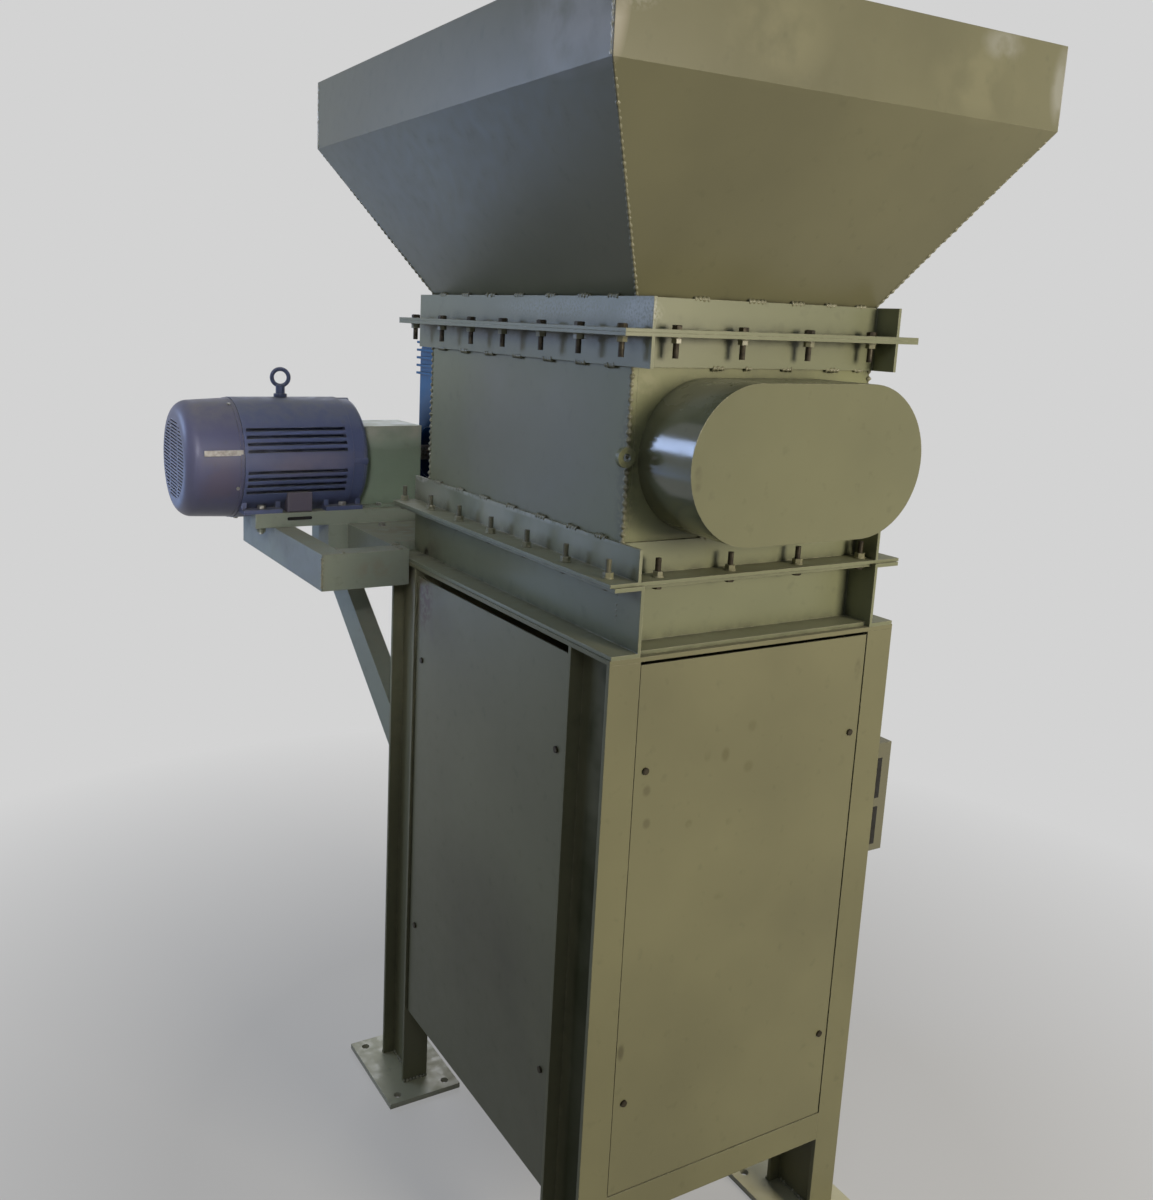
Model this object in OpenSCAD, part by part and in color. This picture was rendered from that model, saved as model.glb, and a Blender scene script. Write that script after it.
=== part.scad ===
// Twin shaft shredder on a welded stand, driven by a foot mounted motor and worm gearbox
// that stand on a channel platform behind the left rear leg.
// The origin is the centre of the stand's footprint, at floor level. The front faces -Y.

/* [Stand] */
// Width of the stand over its legs
stand_w = 640; // [560:10:760]
// Depth of the stand over its legs
stand_d = 880; // [780:10:1060]
// Height from the floor to the top of the stand
stand_h = 1280; // [1080:10:1540]
// Flange width of the I section legs
leg_flange = 62; // [50:1:80]
// Depth of the I section legs, front to back
leg_depth = 125; // [100:1:150]
// Flange thickness of the legs
leg_flange_t = 8; // [6:0.5:12]
// Web thickness of the legs
leg_web_t = 6; // [4:0.5:10]
// Thickness of the plate ring on top of the stand
top_plate_t = 8; // [6:1:16]
// Width of each base plate, left to right
base_w = 180; // [160:5:200]
// Depth of each base plate, front to back
base_d = 250; // [230:5:280]
// Thickness of the base plates
base_t = 12; // [8:1:20]
// Diameter of the anchor holes
anchor_d = 18; // [12:1:22]
// Distance between the anchor holes of a base plate, left to right
anchor_span_x = 122; // [100:1:140]
// Distance between the anchor holes of a base plate, front to back
anchor_span_y = 200; // [180:1:215]
// Leg length of the bottom rail angles
rail_leg = 60; // [40:1:80]
// Thickness of the bottom rail angles
rail_t = 6; // [4:1:10]
// Height of the underside of the bottom rails above the floor
rail_z = 201; // [120:1:300]

/* [Stand panels] */
// Thickness of the sheet panels
panel_t = 3; // [2:0.5:6]
// Gap around a panel
panel_gap = 4; // [2:0.5:8]
// Gap between the end panels and the plate ring above them
end_top_gap = 6; // [4:1:20]
// Gap between the side panels and the plate ring above them
side_top_gap = 17; // [4:1:30]
// Depth of the folded edges of the side panels
panel_fold = 15; // [8:1:30]
// How far a side panel sits behind the tips of the leg flanges
panel_inset = 6; // [4:1:12]

/* [Pedestal] */
// Height of the channels between stand and chamber
pedestal_h = 120; // [80:1:160]
// Flange width of these channels
pedestal_flange = 58; // [40:1:64]
// Flange thickness of these channels
pedestal_flange_t = 7; // [5:0.5:12]
// Web thickness of these channels
pedestal_web_t = 6; // [4:0.5:10]
// How far the side walls of the chamber stand on the webs of the side channels
side_seat = 4; // [2:0.5:6]
// How far the end walls of the chamber stand on the webs of the end channels
end_seat = 5; // [2:0.5:6]

/* [Chamber] */
// Outer width of the cutting chamber
chamber_w = 528; // [490:1:600]
// Outer depth of the cutting chamber
chamber_d = 750; // [640:1:900]
// Height of the cutting chamber with its two angle rings
chamber_h = 405; // [360:1:520]
// Thickness of the chamber walls
wall_t = 12; // [8:1:20]
// Leg length of the lower ring of angles
lower_leg = 60; // [50:1:64]
// Leg length of the two upper rings of angles
upper_leg = 56; // [50:1:64]
// Thickness of all ring angles
angle_t = 6; // [4:0.5:8]

/* [Hopper] */
// Width over the rim
hopper_w = 908; // [700:1:1100]
// Depth over the rim
hopper_d = 1136; // [900:10:1300]
// How far the rim sits to the left of the chamber's middle
rim_shift = 8; // [0:1:20]
// Height of the upright rim
rim_h = 136; // [80:1:200]
// Height of the sloping part
slope_h = 302; // [200:1:400]
// Thickness of the hopper sheet
sheet_t = 4; // [3:0.5:6]

/* [Cutters] */
// Height of the cutter shafts above the underside of the chamber
shaft_z = 197; // [180:1:220]
// Distance between the two cutter shafts
shaft_span = 228; // [190:1:236]
// How far the pair of shafts sits to the right of the middle
shaft_offset = 8; // [0:1:12]
// Radius of the cutter discs over their hooks
disc_r = 122; // [117:1:126]
// Depth of the hooks on the discs
hook_h = 12; // [6:1:18]
// Number of discs on each shaft
discs = 9; // [4:1:12]
// Running gap beside each disc
disc_gap = 2; // [1:0.5:4]
// Running gap between the hooks and the spacer rings of the other shaft
tip_gap = 26; // [14:1:40]
// Radius of the cutter shafts
shaft_r = 40; // [25:1:48]
// Running gap of a shaft in the walls
shaft_gap = 0.3; // [0.2:0.1:1]
// Outer radius of the rear bearing housings
bearing_r = 85; // [60:1:100]
// Length of the rear bearing housings
bearing_l = 70; // [40:1:90]
// How far the left shaft stands out of its rear bearing
shaft_stub = 20; // [10:1:40]

/* [Gear cover] */
// Width of the oval cover
cover_w = 504; // [440:1:520]
// Height of the oval cover
cover_h = 264; // [220:1:280]
// How far the cover's middle sits above the shafts
cover_lift = 4; // [0:1:10]
// How far the cover's middle sits to the right of the shafts
cover_shift = 2; // [0:1:10]
// Depth of the oval cover
cover_d = 140; // [80:1:200]

/* [Motor platform] */
// How far the platform reaches out to the left of the stand
platform_out = 203; // [150:1:260]
// How far the platform reaches behind the stand
platform_back = 495; // [450:1:560]
// Distance of the platform's front channel from the front face of the rear legs
platform_step = 35; // [20:1:45]
// Height of the platform's upper face above the top of the stand
platform_rise = 29; // [10:1:60]
// Height of the platform channels
channel_h = 80; // [65:1:100]
// Flange width of the platform channels
channel_flange = 50; // [35:1:55]
// Thickness of the platform channels
channel_t = 6; // [4:0.5:10]
// Thickness of the inner bar beside the leg
inner_t = 18; // [8:1:30]
// How far the bearer under the front drive bar stands out past the inner bar
bearer_out = 50; // [30:1:90]
// Width of this bearer, front to back
bearer_w = 70; // [60:1:110]
// How far below the platform the upper side of a brace meets the leg
brace_fall = 309; // [270:1:370]
// Lean of the braces from the upright
brace_lean = 53; // [50:1:56]
// Flange width of the brace channels
brace_flange = 46; // [30:1:50]
// How far the flush plate beside the gearbox reaches in from the leg
deck_w = 170; // [100:1:200]
// Thickness of the flush plate
deck_t = 6; // [4:1:12]
// How far the flush plate reaches in under the front drive bar
deck_lap = 10; // [4:1:30]

/* [Motor] */
// Distance from the rear face of the stand to the motor axis
motor_back = 365; // [340:1:400]
// Height of the motor axis above its feet
axis_h = 120; // [112:1:140]
// Radius of the fan cover where it meets the frame
fan_r = 143; // [130:1:146]
// How much narrower the fan cover is at its outer end
fan_taper = 5; // [0:1:15]
// Radius of the motor frame
frame_r = 145; // [130:1:147]
// Length of the fan cover
fan_l = 130; // [110:1:180]
// Length of the grooved frame
frame_l = 267; // [230:1:290]
// Length of the drive end shield to the end of its boss
bell_l = 68; // [60:1:100]
// Length of the shield's rim with its lugs
shield_l = 43; // [36:1:50]
// Radius of the shield's bearing boss
boss_r = 68; // [50:1:71]
// Radius of the lugs on the shield's rim
tie_lug_r = 14; // [10:1:18]
// Distance of the drive end from the left side of the stand
drive_end = 58; // [30:1:90]
// Distance of the foot bolts' middle from the left side of the stand
foot_middle = -128; // [-160:1:-100]
// Length of each foot
foot_l = 94; // [60:1:110]
// Thickness of the feet
foot_t = 10; // [8:1:18]
// How far the lifting eye sits to the left of the middle of the feet
eye_shift = 20; // [0:1:60]
// Radius of the middle of the lifting eye's ring
eye_r = 20; // [16:1:26]
// Radius of the wire of the lifting eye
eye_wire_r = 5; // [3:0.5:8]
// Height of the lifting eye's stem
eye_stem = 29; // [20:1:40]
// Turn of the lifting eye about its stem
eye_turn = 20; // [0:1:90]
// Distance between the motor's foot bolts across the axis
foot_span = 220; // [215:1:240]
// Distance between the motor's foot bolts along the axis
foot_pitch = 203; // [180:1:220]
// Width of the flat bars under motor and gearbox
bar_w = 40; // [30:1:44]
// Height of the flat bars
bar_h = 34; // [25:1:50]
// How far the bars stand out past the platform on the left
bar_out = 46; // [30:1:50]

/* [Drive] */
// Width of the gearbox
gearbox_w = 376; // [340:1:380]
// Depth of the gearbox housing
gearbox_d = 180; // [150:1:190]
// Height of the gearbox over its feet
gearbox_h = 432; // [420:1:470]
// Gap between the motor's end shield and the coupling guard
guard_gap = 2; // [1:0.5:6]
// Width of the coupling guard along the motor axis
guard_w = 163; // [130:1:168]
// Depth of the coupling guard
guard_d = 150; // [130:1:170]
// Height of the coupling guard
guard_h = 198; // [180:1:220]
// Sheet thickness of the coupling guard
guard_t = 3; // [2:0.5:5]
// Distance of the coupling hubs from the motor's boss
hub_gap = 10; // [6:1:16]
// How far the coupling hubs stay inside the guard's right end
hub_in = 18; // [8:1:40]
// Distance from the gearbox to the joint of the cutter shaft
joint_out = 90; // [80:1:110]

/* [Small parts] */
// Width of the switch box on the right front leg
box_t = 33; // [20:1:50]
// Height of the switch box
box_h = 222; // [150:1:320]
// Height of the switch box's underside above the floor
box_z = 820; // [500:1:900]
// Radius of the round lug on the chamber's edge
lug_r = 17; // [12:1:24]
// Radius of the hole in this lug
lug_hole_r = 7; // [4:0.5:9]
// Thickness of this lug
lug_t = 10; // [6:1:16]
// How far the middle of this lug sits outside the chamber's edge
lug_out = 7; // [0:1:12]
// How far the middle of this lug sits above the shafts
lug_lift = 6; // [0:1:20]

/* [Hidden] */

$fn = 64;
sage = "#8b8a66";
motor_blue = "#55597a";
gear_blue = "#2f6aa8";
steel = "#7c7f82";

// Stand
leg_x = stand_w / 2 - leg_flange / 2;
leg_y = stand_d / 2 - leg_depth / 2;
leg_top = stand_h - top_plate_t;

// Levels of the rings, from the bottom up
chamber_z = stand_h + pedestal_h;
chamber_top = chamber_z + chamber_h;
hopper_z = chamber_top;
collar_h = upper_leg;
slope_z = hopper_z + collar_h;
rim_z = slope_z + slope_h;
hopper_top = rim_z + rim_h;

// Throat through pedestal, chamber and hopper collar
throat_w = chamber_w - 2 * wall_t;
throat_d = chamber_d - 2 * wall_t;

// Shafts
axle_z = chamber_z + shaft_z;
shaft_left = shaft_offset - shaft_span / 2;
shaft_right = shaft_offset + shaft_span / 2;
spacer_r = shaft_span - disc_r - tip_gap;
disc_pitch = (throat_d - disc_gap) / discs;
disc_t = disc_pitch / 2 - disc_gap;
bearing_y = chamber_d / 2 + bearing_l;

// Platform
platform_top = stand_h + platform_rise;
platform_z = platform_top - channel_h;
brace_z = platform_z - brace_fall;
platform_left = -stand_w / 2 - platform_out;
platform_front = stand_d / 2 - leg_depth + platform_step;
platform_rear = stand_d / 2 + platform_back;
behind = stand_d / 2;
side = -stand_w / 2;

// Motor and drive
bar_top = platform_top + bar_h;
motor_y = behind + motor_back;
motor_z = bar_top + axis_h;
bell_x = side + drive_end;
frame_x = bell_x - bell_l;
fan_x = frame_x - frame_l;
foot_x = side + foot_middle;
guard_x = frame_x + shield_l + guard_gap;
gearbox_x = shaft_right;
gearbox_left = gearbox_x - gearbox_w / 2;
bar_front = motor_y - foot_span / 2 - bar_w / 2;
eye_x = foot_x - eye_shift;
gearbox_front = motor_y - gearbox_d / 2;
shaft_end = gearbox_front - joint_out;

// ---- helpers ----

// Box from one corner to the opposite one
module block(from, to) {
    translate(from)
        cube(to - from);
}

// Round bar along X
module bar_x(x0, x1, r) {
    translate([x0, 0, 0])
        rotate([0, 90, 0])
            cylinder(h = x1 - x0, r = r);
}

// Round bar along Y
module bar_y(y0, y1, r) {
    translate([0, y0, 0])
        rotate([-90, 0, 0])
            cylinder(h = y1 - y0, r = r);
}

// Channel section with its web on the plane x = 0 and flanges towards +x, from z = 0 up
module channel_section(height, flange, web, flange_t) {
    square([web, height]);
    square([flange, flange_t]);
    translate([0, height - flange_t])
        square([flange, flange_t]);
}

// Channel along Y: the web stands at x = 0 and the flanges point to +x
module channel_y(y0, y1, height, flange, web, flange_t) {
    translate([0, y1, 0])
        rotate([90, 0, 0])
            linear_extrude(y1 - y0)
                channel_section(height, flange, web, flange_t);
}

// Channel along X: the web stands at y = 0 and the flanges point to +y
module channel_x(x0, x1, height, flange, web, flange_t) {
    translate([x0, 0, 0])
        rotate([90, 0, 90])
            linear_extrude(x1 - x0)
                channel_section(height, flange, web, flange_t);
}

// Ring of welded angles round a rectangle. The upright legs stand on the rectangle's outside,
// the flat legs point outwards, and the two side angles run past the end angles.
module angle_ring(w, d, leg) {
    for (s = [-1, 1])
        scale_x(s) {
            block([w / 2, -d / 2 - leg, 0], [w / 2 + leg, d / 2 + leg, angle_t]);
            block([w / 2, -d / 2 - leg, 0], [w / 2 + angle_t, d / 2 + leg, leg]);
        }
    for (s = [-1, 1])
        scale_y(s) {
            block([-w / 2, d / 2, 0], [w / 2, d / 2 + leg, angle_t]);
            block([-w / 2, d / 2, 0], [w / 2, d / 2 + angle_t, leg]);
        }
}

// Mirror across the middle plane when s is negative
module scale_x(s) {
    mirror([s < 0 ? 1 : 0, 0, 0])
        children();
}

module scale_y(s) {
    mirror([0, s < 0 ? 1 : 0, 0])
        children();
}

// ---- stand ----

module leg(sx, sy) {
    color(sage)
        translate([sx * leg_x, sy * leg_y, base_t])
            linear_extrude(leg_top - base_t) {
                for (s = [-1, 1])
                    translate([0, s * (leg_depth - leg_flange_t) / 2])
                        square([leg_flange, leg_flange_t], center = true);
                square([leg_web_t, leg_depth - leg_flange_t], center = true);
            }
}

module base_plates() {
    color(sage)
        for (sx = [-1, 1], sy = [-1, 1])
            translate([sx * leg_x, sy * leg_y, 0])
                difference() {
                    block([-base_w / 2, -base_d / 2, 0], [base_w / 2, base_d / 2, base_t]);
                    for (ax = [-1, 1], ay = [-1, 1])
                        translate([ax * anchor_span_x / 2, ay * anchor_span_y / 2, -1])
                            cylinder(h = base_t + 2, d = anchor_d);
                }
}

module top_plate() {
    color(sage)
        difference() {
            block([-stand_w / 2, -stand_d / 2, leg_top], [stand_w / 2, stand_d / 2, stand_h]);
            block([-throat_w / 2, -throat_d / 2, leg_top - 1],
                  [throat_w / 2, throat_d / 2, stand_h + 1]);
        }
}

// Angles between the legs at the bottom, flat leg inwards and upright leg outside
module bottom_rails() {
    end_x = stand_w / 2 - leg_flange;
    end_y = stand_d / 2 - leg_depth;
    side_x = stand_w / 2 - panel_inset - panel_t;
    end_face = stand_d / 2;
    color(sage) {
        for (s = [-1, 1])
            scale_y(s) {
                block([-end_x, end_face - rail_t, rail_z], [end_x, end_face, rail_z + rail_leg]);
                block([-end_x, end_face - rail_leg, rail_z], [end_x, end_face, rail_z + rail_t]);
            }
        for (s = [-1, 1])
            scale_x(s) {
                block([side_x - rail_t, -end_y, rail_z], [side_x, end_y, rail_z + rail_leg]);
                block([side_x - rail_leg, -end_y, rail_z], [side_x, end_y, rail_z + rail_t]);
            }
    }
}

// Front and rear panels lie between the leg flanges, above the bottom rail. Their folded
// edges rest on flat cleats behind the leg flanges.
module end_panel(s) {
    half = stand_w / 2 - leg_flange - panel_gap / 2;
    face = stand_d / 2 - 1;
    flange_back = stand_d / 2 - leg_flange_t;
    cleat_t = 4;
    cleat_in = 20;
    cleat_out = 12;
    low = rail_z + rail_leg + panel_gap / 2;
    high = leg_top - end_top_gap;
    color(sage)
        scale_y(s) {
            block([-half, face - panel_t, low], [half, face, high]);
            for (end = [-1, 1])
                scale_x(end) {
                    block([half - panel_t, flange_back, low], [half, face, high]);
                    block([half - cleat_in, flange_back - cleat_t, low + cleat_in],
                          [half + cleat_out, flange_back, high - cleat_in]);
                }
        }
}

// Side panels hang outside the bottom rail, just behind the tips of the leg flanges
module side_panel(s) {
    half = stand_d / 2 - leg_depth - panel_gap;
    face = stand_w / 2 - panel_inset;
    low = rail_z + 3;
    high = leg_top - side_top_gap;
    fold_z = rail_z + rail_leg + 10;
    color(sage)
        scale_x(s) {
            block([face - panel_t, -half, low], [face, half, high]);
            for (end = [-1, 1])
                scale_y(end)
                    block([face - panel_fold, half - panel_t, fold_z], [face, half, high]);
        }
}

// ---- pedestal and rings ----

module pedestal() {
    web_x = chamber_w / 2 - side_seat;
    web_y = chamber_d / 2 - end_seat;
    color(sage)
        translate([0, 0, stand_h]) {
            for (s = [-1, 1])
                scale_x(s)
                    translate([web_x, 0, 0])
                        channel_y(-stand_d / 2, stand_d / 2, pedestal_h,
                                  pedestal_flange, pedestal_web_t, pedestal_flange_t);
            for (s = [-1, 1])
                scale_y(s)
                    translate([0, web_y, 0])
                        channel_x(-web_x, web_x, pedestal_h,
                                  pedestal_flange, pedestal_web_t, pedestal_flange_t);
        }
}

module lower_flange() {
    color(sage)
        translate([0, 0, chamber_z])
            angle_ring(chamber_w, chamber_d, lower_leg);
}

module upper_flange() {
    color(sage)
        translate([0, 0, chamber_top])
            mirror([0, 0, 1])
                angle_ring(chamber_w, chamber_d, upper_leg);
}

module hopper_flange() {
    color(sage)
        translate([0, 0, hopper_z])
            angle_ring(chamber_w, chamber_d, upper_leg);
}

// ---- chamber ----

module chamber_side(s) {
    color(sage)
        scale_x(s)
            block([chamber_w / 2 - wall_t, -chamber_d / 2, chamber_z],
                  [chamber_w / 2, chamber_d / 2, chamber_top]);
}

module chamber_end(s) {
    color(sage)
        difference() {
            scale_y(s)
                block([-throat_w / 2, chamber_d / 2 - wall_t, chamber_z],
                      [throat_w / 2, chamber_d / 2, chamber_top]);
            for (x = [shaft_left, shaft_right])
                translate([x, 0, axle_z])
                    scale_y(s)
                        bar_y(chamber_d / 2 - wall_t - 1, chamber_d / 2 + 1, shaft_r + shaft_gap);
        }
}

// ---- hopper ----

// Outline at each bend of the hopper: left, right, half depth and height
hopper_levels = [
    [-chamber_w / 2, chamber_w / 2, chamber_d / 2, hopper_z],
    [-chamber_w / 2, chamber_w / 2, chamber_d / 2, slope_z],
    [-hopper_w / 2 - rim_shift, hopper_w / 2 - rim_shift, hopper_d / 2, rim_z],
    [-hopper_w / 2 - rim_shift, hopper_w / 2 - rim_shift, hopper_d / 2, hopper_top]
];

// Corners of the hopper at one level, counted round from the left front corner
function hopper_corners(level, inset) = [
    [level[0] + inset, inset - level[2]],
    [level[1] - inset, inset - level[2]],
    [level[1] - inset, level[2] - inset],
    [level[0] + inset, level[2] - inset]
];

// One bent sheet with mitred ends between two neighbouring corners
module hopper_wall(first) {
    second = (first + 1) % 4;
    points = [
        for (level = hopper_levels)
            let (outer = hopper_corners(level, 0), inner = hopper_corners(level, sheet_t))
            for (p = [outer[second], outer[first], inner[first], inner[second]])
                [p[0], p[1], level[3]]
    ];
    bands = len(hopper_levels) - 1;
    sides = [
        for (i = [0 : bands - 1], k = [0 : 3])
            let (a = 4 * i + k, b = 4 * i + (k + 1) % 4)
            [a, b, b + 4, a + 4]
    ];
    polyhedron(points, concat([[3, 2, 1, 0]], sides, [[for (k = [0 : 3]) 4 * bands + k]]));
}

// ---- cutters ----

// Disc with hooks, drawn in the plane and turned to stand along Y
module cutter_disc(phase) {
    hooks = 6;
    root = disc_r - hook_h;
    rotate([90, 0, 0])
        linear_extrude(disc_t, center = true) {
            circle(r = root);
            for (k = [0 : hooks - 1])
                rotate(phase + k * 360 / hooks)
                    polygon([[0, root - 6], [0, disc_r], [10, disc_r - 1], [34, root - 8]]);
        }
}

// Shaft with its discs; the discs of the right shaft run in the gaps of the left one
module cutter(x, shift, y_end) {
    first = -throat_d / 2 + disc_gap + disc_t / 2 + shift;
    ring_end = throat_d / 2 - disc_gap / 2;
    color(steel)
        translate([x, 0, axle_z]) {
            bar_y(-chamber_d / 2, y_end, shaft_r);
            bar_y(-ring_end, ring_end, spacer_r);
            for (i = [0 : discs - 1])
                translate([0, first + i * disc_pitch, 0])
                    cutter_disc(i * 20);
        }
}

module cutter_left() {
    cutter(shaft_left, 0, bearing_y + shaft_stub);
}

module cutter_right() {
    cutter(shaft_right, disc_pitch / 2, shaft_end);
}

module rear_bearings() {
    color(steel)
        for (x = [shaft_left, shaft_right])
            translate([x, 0, axle_z])
                difference() {
                    union() {
                        bar_y(chamber_d / 2, bearing_y, bearing_r);
                        translate([0, chamber_d / 2 + 9, 0])
                            cube([shaft_span - 8, 18, 2 * bearing_r + 24], center = true);
                    }
                    bar_y(chamber_d / 2 - 1, bearing_y + 1, shaft_r + shaft_gap);
                }
}

module gear_cover() {
    radius = cover_h / 2;
    reach = cover_w / 2 - radius;
    color(sage)
        translate([shaft_offset + cover_shift, -chamber_d / 2, axle_z + cover_lift])
            rotate([90, 0, 0])
                linear_extrude(cover_d) {
                    for (s = [-1, 1])
                        translate([s * reach, 0])
                            circle(r = radius, $fn = 128);
                    square([2 * reach, cover_h], center = true);
                }
}

// Round lug with a hole, welded on the chamber's left front edge
module edge_lug() {
    color(sage)
        translate([-chamber_w / 2 - lug_out, -chamber_d / 2, axle_z + lug_lift])
            rotate([90, 0, 0])
                difference() {
                    cylinder(h = lug_t, r = lug_r);
                    translate([0, 0, -1])
                        cylinder(h = lug_t + 2, r = lug_hole_r);
                }
}

// ---- motor platform ----

module platform_frame() {
    inner_x = side - inner_t;
    color(sage)
        translate([0, 0, platform_z]) {
            // Outer and front channels round the motor's side
            translate([platform_left, 0, 0])
                channel_y(platform_front, platform_rear, channel_h,
                          channel_flange, channel_t, channel_t);
            translate([0, platform_front, 0])
                channel_x(platform_left, inner_x, channel_h,
                          channel_flange, channel_t, channel_t);
            // Inner bar along the leg's flange tips, with the bearer welded to it
            block([inner_x, platform_front, 0], [side, platform_rear, channel_h]);
            block([inner_x - bearer_out, bar_front, 0],
                  [inner_x, bar_front + bearer_w, channel_h]);
            // Closed frame behind the stand
            translate([0, behind, 0])
                channel_x(side, stand_w / 2, channel_h, channel_flange, channel_t, channel_t);
            translate([0, platform_rear, 0])
                mirror([0, 1, 0])
                    channel_x(side, stand_w / 2, channel_h, channel_flange, channel_t, channel_t);
            translate([stand_w / 2, 0, 0])
                mirror([1, 0, 0])
                    channel_y(behind, platform_rear, channel_h,
                              channel_flange, channel_t, channel_t);
            block([side, behind, channel_h - deck_t],
                  [side + deck_w, bar_front + deck_lap, channel_h]);
        }
}

// Channel that leans back from a rear leg to the underside of the platform.
// Its web is an upright plate and its two flanges point to the middle of the stand.
module brace(s) {
    reach = platform_rear - behind;
    slope = 1 / tan(brace_lean);
    drop = channel_h / sin(brace_lean);
    flange_drop = channel_t / sin(brace_lean);
    color(sage)
        scale_x(s)
            intersection() {
                translate([stand_w / 2, behind, brace_z])
                    rotate([90, 0, -90]) {
                        brace_strip(reach, slope, drop, channel_t);
                        brace_strip(reach, slope, flange_drop, brace_flange);
                        translate([0, flange_drop - drop, 0])
                            brace_strip(reach, slope, flange_drop, brace_flange);
                    }
                block([0, behind, 0], [stand_w, platform_rear, platform_z]);
            }
}

// Slanted strip of a brace: it falls away from the leg towards -x in its own plane
module brace_strip(reach, slope, drop, width) {
    linear_extrude(width)
        polygon([[0, 0], [0, -drop], [-reach, slope * reach - drop], [-reach, slope * reach]]);
}

// Two flat bars across the platform that carry motor and gearbox
module drive_bars() {
    color(sage)
        for (s = [-1, 1])
            translate([0, motor_y + s * foot_span / 2, 0])
                block([platform_left - bar_out, -bar_w / 2, platform_top],
                      [stand_w / 2, bar_w / 2, bar_top]);
}

// ---- motor ----

// Smooth frame with two groups of cooling grooves on each side, on four feet
module motor_frame() {
    groove_depth = 16;
    groove_h = 7;
    groove_pitch = 16;
    groove_levels = [for (k = [0 : 3]) for (first = [30, -20 - 3 * groove_pitch])
        first + k * groove_pitch];
    rib_t = 12;
    rib_in = 50;
    rib_h = 60;
    color(motor_blue)
        translate([0, motor_y, motor_z])
            difference() {
                bar_x(fan_x, frame_x, frame_r);
                for (z = groove_levels, s = [-1, 1])
                    scale_y(s)
                        difference() {
                            translate([fan_x + 8, 0, z - groove_h / 2])
                                cube([frame_l - 24, frame_r + 5, groove_h]);
                            bar_x(fan_x, frame_x, frame_r - groove_depth);
                        }
            }
    color(motor_blue)
        difference() {
            for (s = [-1, 1], t = [-1, 1])
                translate([foot_x, motor_y, bar_top])
                    scale_x(t)
                        scale_y(s)
                            translate([foot_pitch / 2, foot_span / 2, 0]) {
                                block([-foot_l / 2, -rib_in, 0], [foot_l / 2, bar_w / 2 - 2, foot_t]);
                                for (x = [-foot_l / 2, foot_l / 2 - rib_t])
                                    block([x, -rib_in, 0], [x + rib_t, 0, rib_h]);
                            }
            translate([0, motor_y, motor_z])
                bar_x(frame_x, frame_x + foot_l, frame_r);
        }
}

module motor_fan_cover() {
    dome = 36;
    end_r = fan_r - fan_taper;
    color(motor_blue)
        translate([fan_x, motor_y, motor_z])
            rotate([0, -90, 0])
                rotate_extrude($fn = 128)
                    polygon(concat(
                        [[0, 0], [fan_r, 0]],
                        [for (a = [0 : 10 : 90])
                            [end_r - dome + dome * cos(a), fan_l - dome + dome * sin(a)]],
                        [[0, fan_l]]));
}

// Drive end shield: a rim with four lugs for the tie bolts, a hollow face and the bearing boss
module motor_end_bell() {
    rim_r = frame_r - 4;
    chamfer = 15;
    dish = 8;
    color(motor_blue)
        translate([frame_x, motor_y, motor_z])
            rotate([0, 90, 0]) {
                rotate_extrude($fn = 96)
                    polygon([[0, 0], [rim_r, 0], [rim_r, shield_l - chamfer],
                             [rim_r - 4, shield_l - chamfer / 2], [rim_r - chamfer, shield_l],
                             [rim_r - chamfer - 6, shield_l], [boss_r + 20, shield_l - dish],
                             [boss_r + 4, shield_l - dish], [boss_r, shield_l],
                             [boss_r - 6, bell_l], [0, bell_l]]);
                for (a = [0 : 90 : 270])
                    rotate(a)
                        translate([rim_r - tie_lug_r + 2, 0, 0])
                            cylinder(h = shield_l - chamfer / 2, r = tie_lug_r);
            }
}

module motor_eye_bolt() {
    color(motor_blue)
        translate([eye_x, motor_y, motor_z + frame_r]) {
            cylinder(h = 8, r = 16);
            cylinder(h = eye_stem, r = 11);
            translate([0, 0, eye_stem - 2 + eye_r])
                rotate([90, 0, -eye_turn])
                    rotate_extrude()
                        translate([eye_r, 0])
                            circle(r = eye_wire_r, $fn = 24);
        }
}

// ---- drive ----

// Bent sheet cover over the fast coupling, open towards motor and gearbox, on two folded
// feet that lie on the drive bars
module coupling_guard() {
    color(sage)
        translate([guard_x, motor_y, bar_top])
            difference() {
                block([0, -guard_d / 2, 0], [guard_w, guard_d / 2, guard_h]);
                block([-1, -guard_d / 2 + guard_t, -1],
                      [guard_w + 1, guard_d / 2 - guard_t, guard_h - guard_t]);
            }
    color(sage)
        for (s = [-1, 1])
            translate([guard_x, motor_y, bar_top])
                scale_y(s)
                    block([0, guard_d / 2 - guard_t, 0], [guard_w, foot_span / 2, guard_t]);
}

module input_coupling() {
    hub_r = 42;
    pin_r = 19;
    half_gap = 4;
    first = bell_x + hub_gap;
    last = guard_x + guard_w - hub_in;
    middle = (first + last) / 2;
    color(steel)
        translate([0, motor_y, motor_z]) {
            bar_x(bell_x, gearbox_left, pin_r);
            bar_x(first, middle - half_gap, hub_r);
            bar_x(middle + half_gap, last, hub_r);
            bar_x(middle - half_gap, middle + half_gap, hub_r - 10);
        }
}

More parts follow.
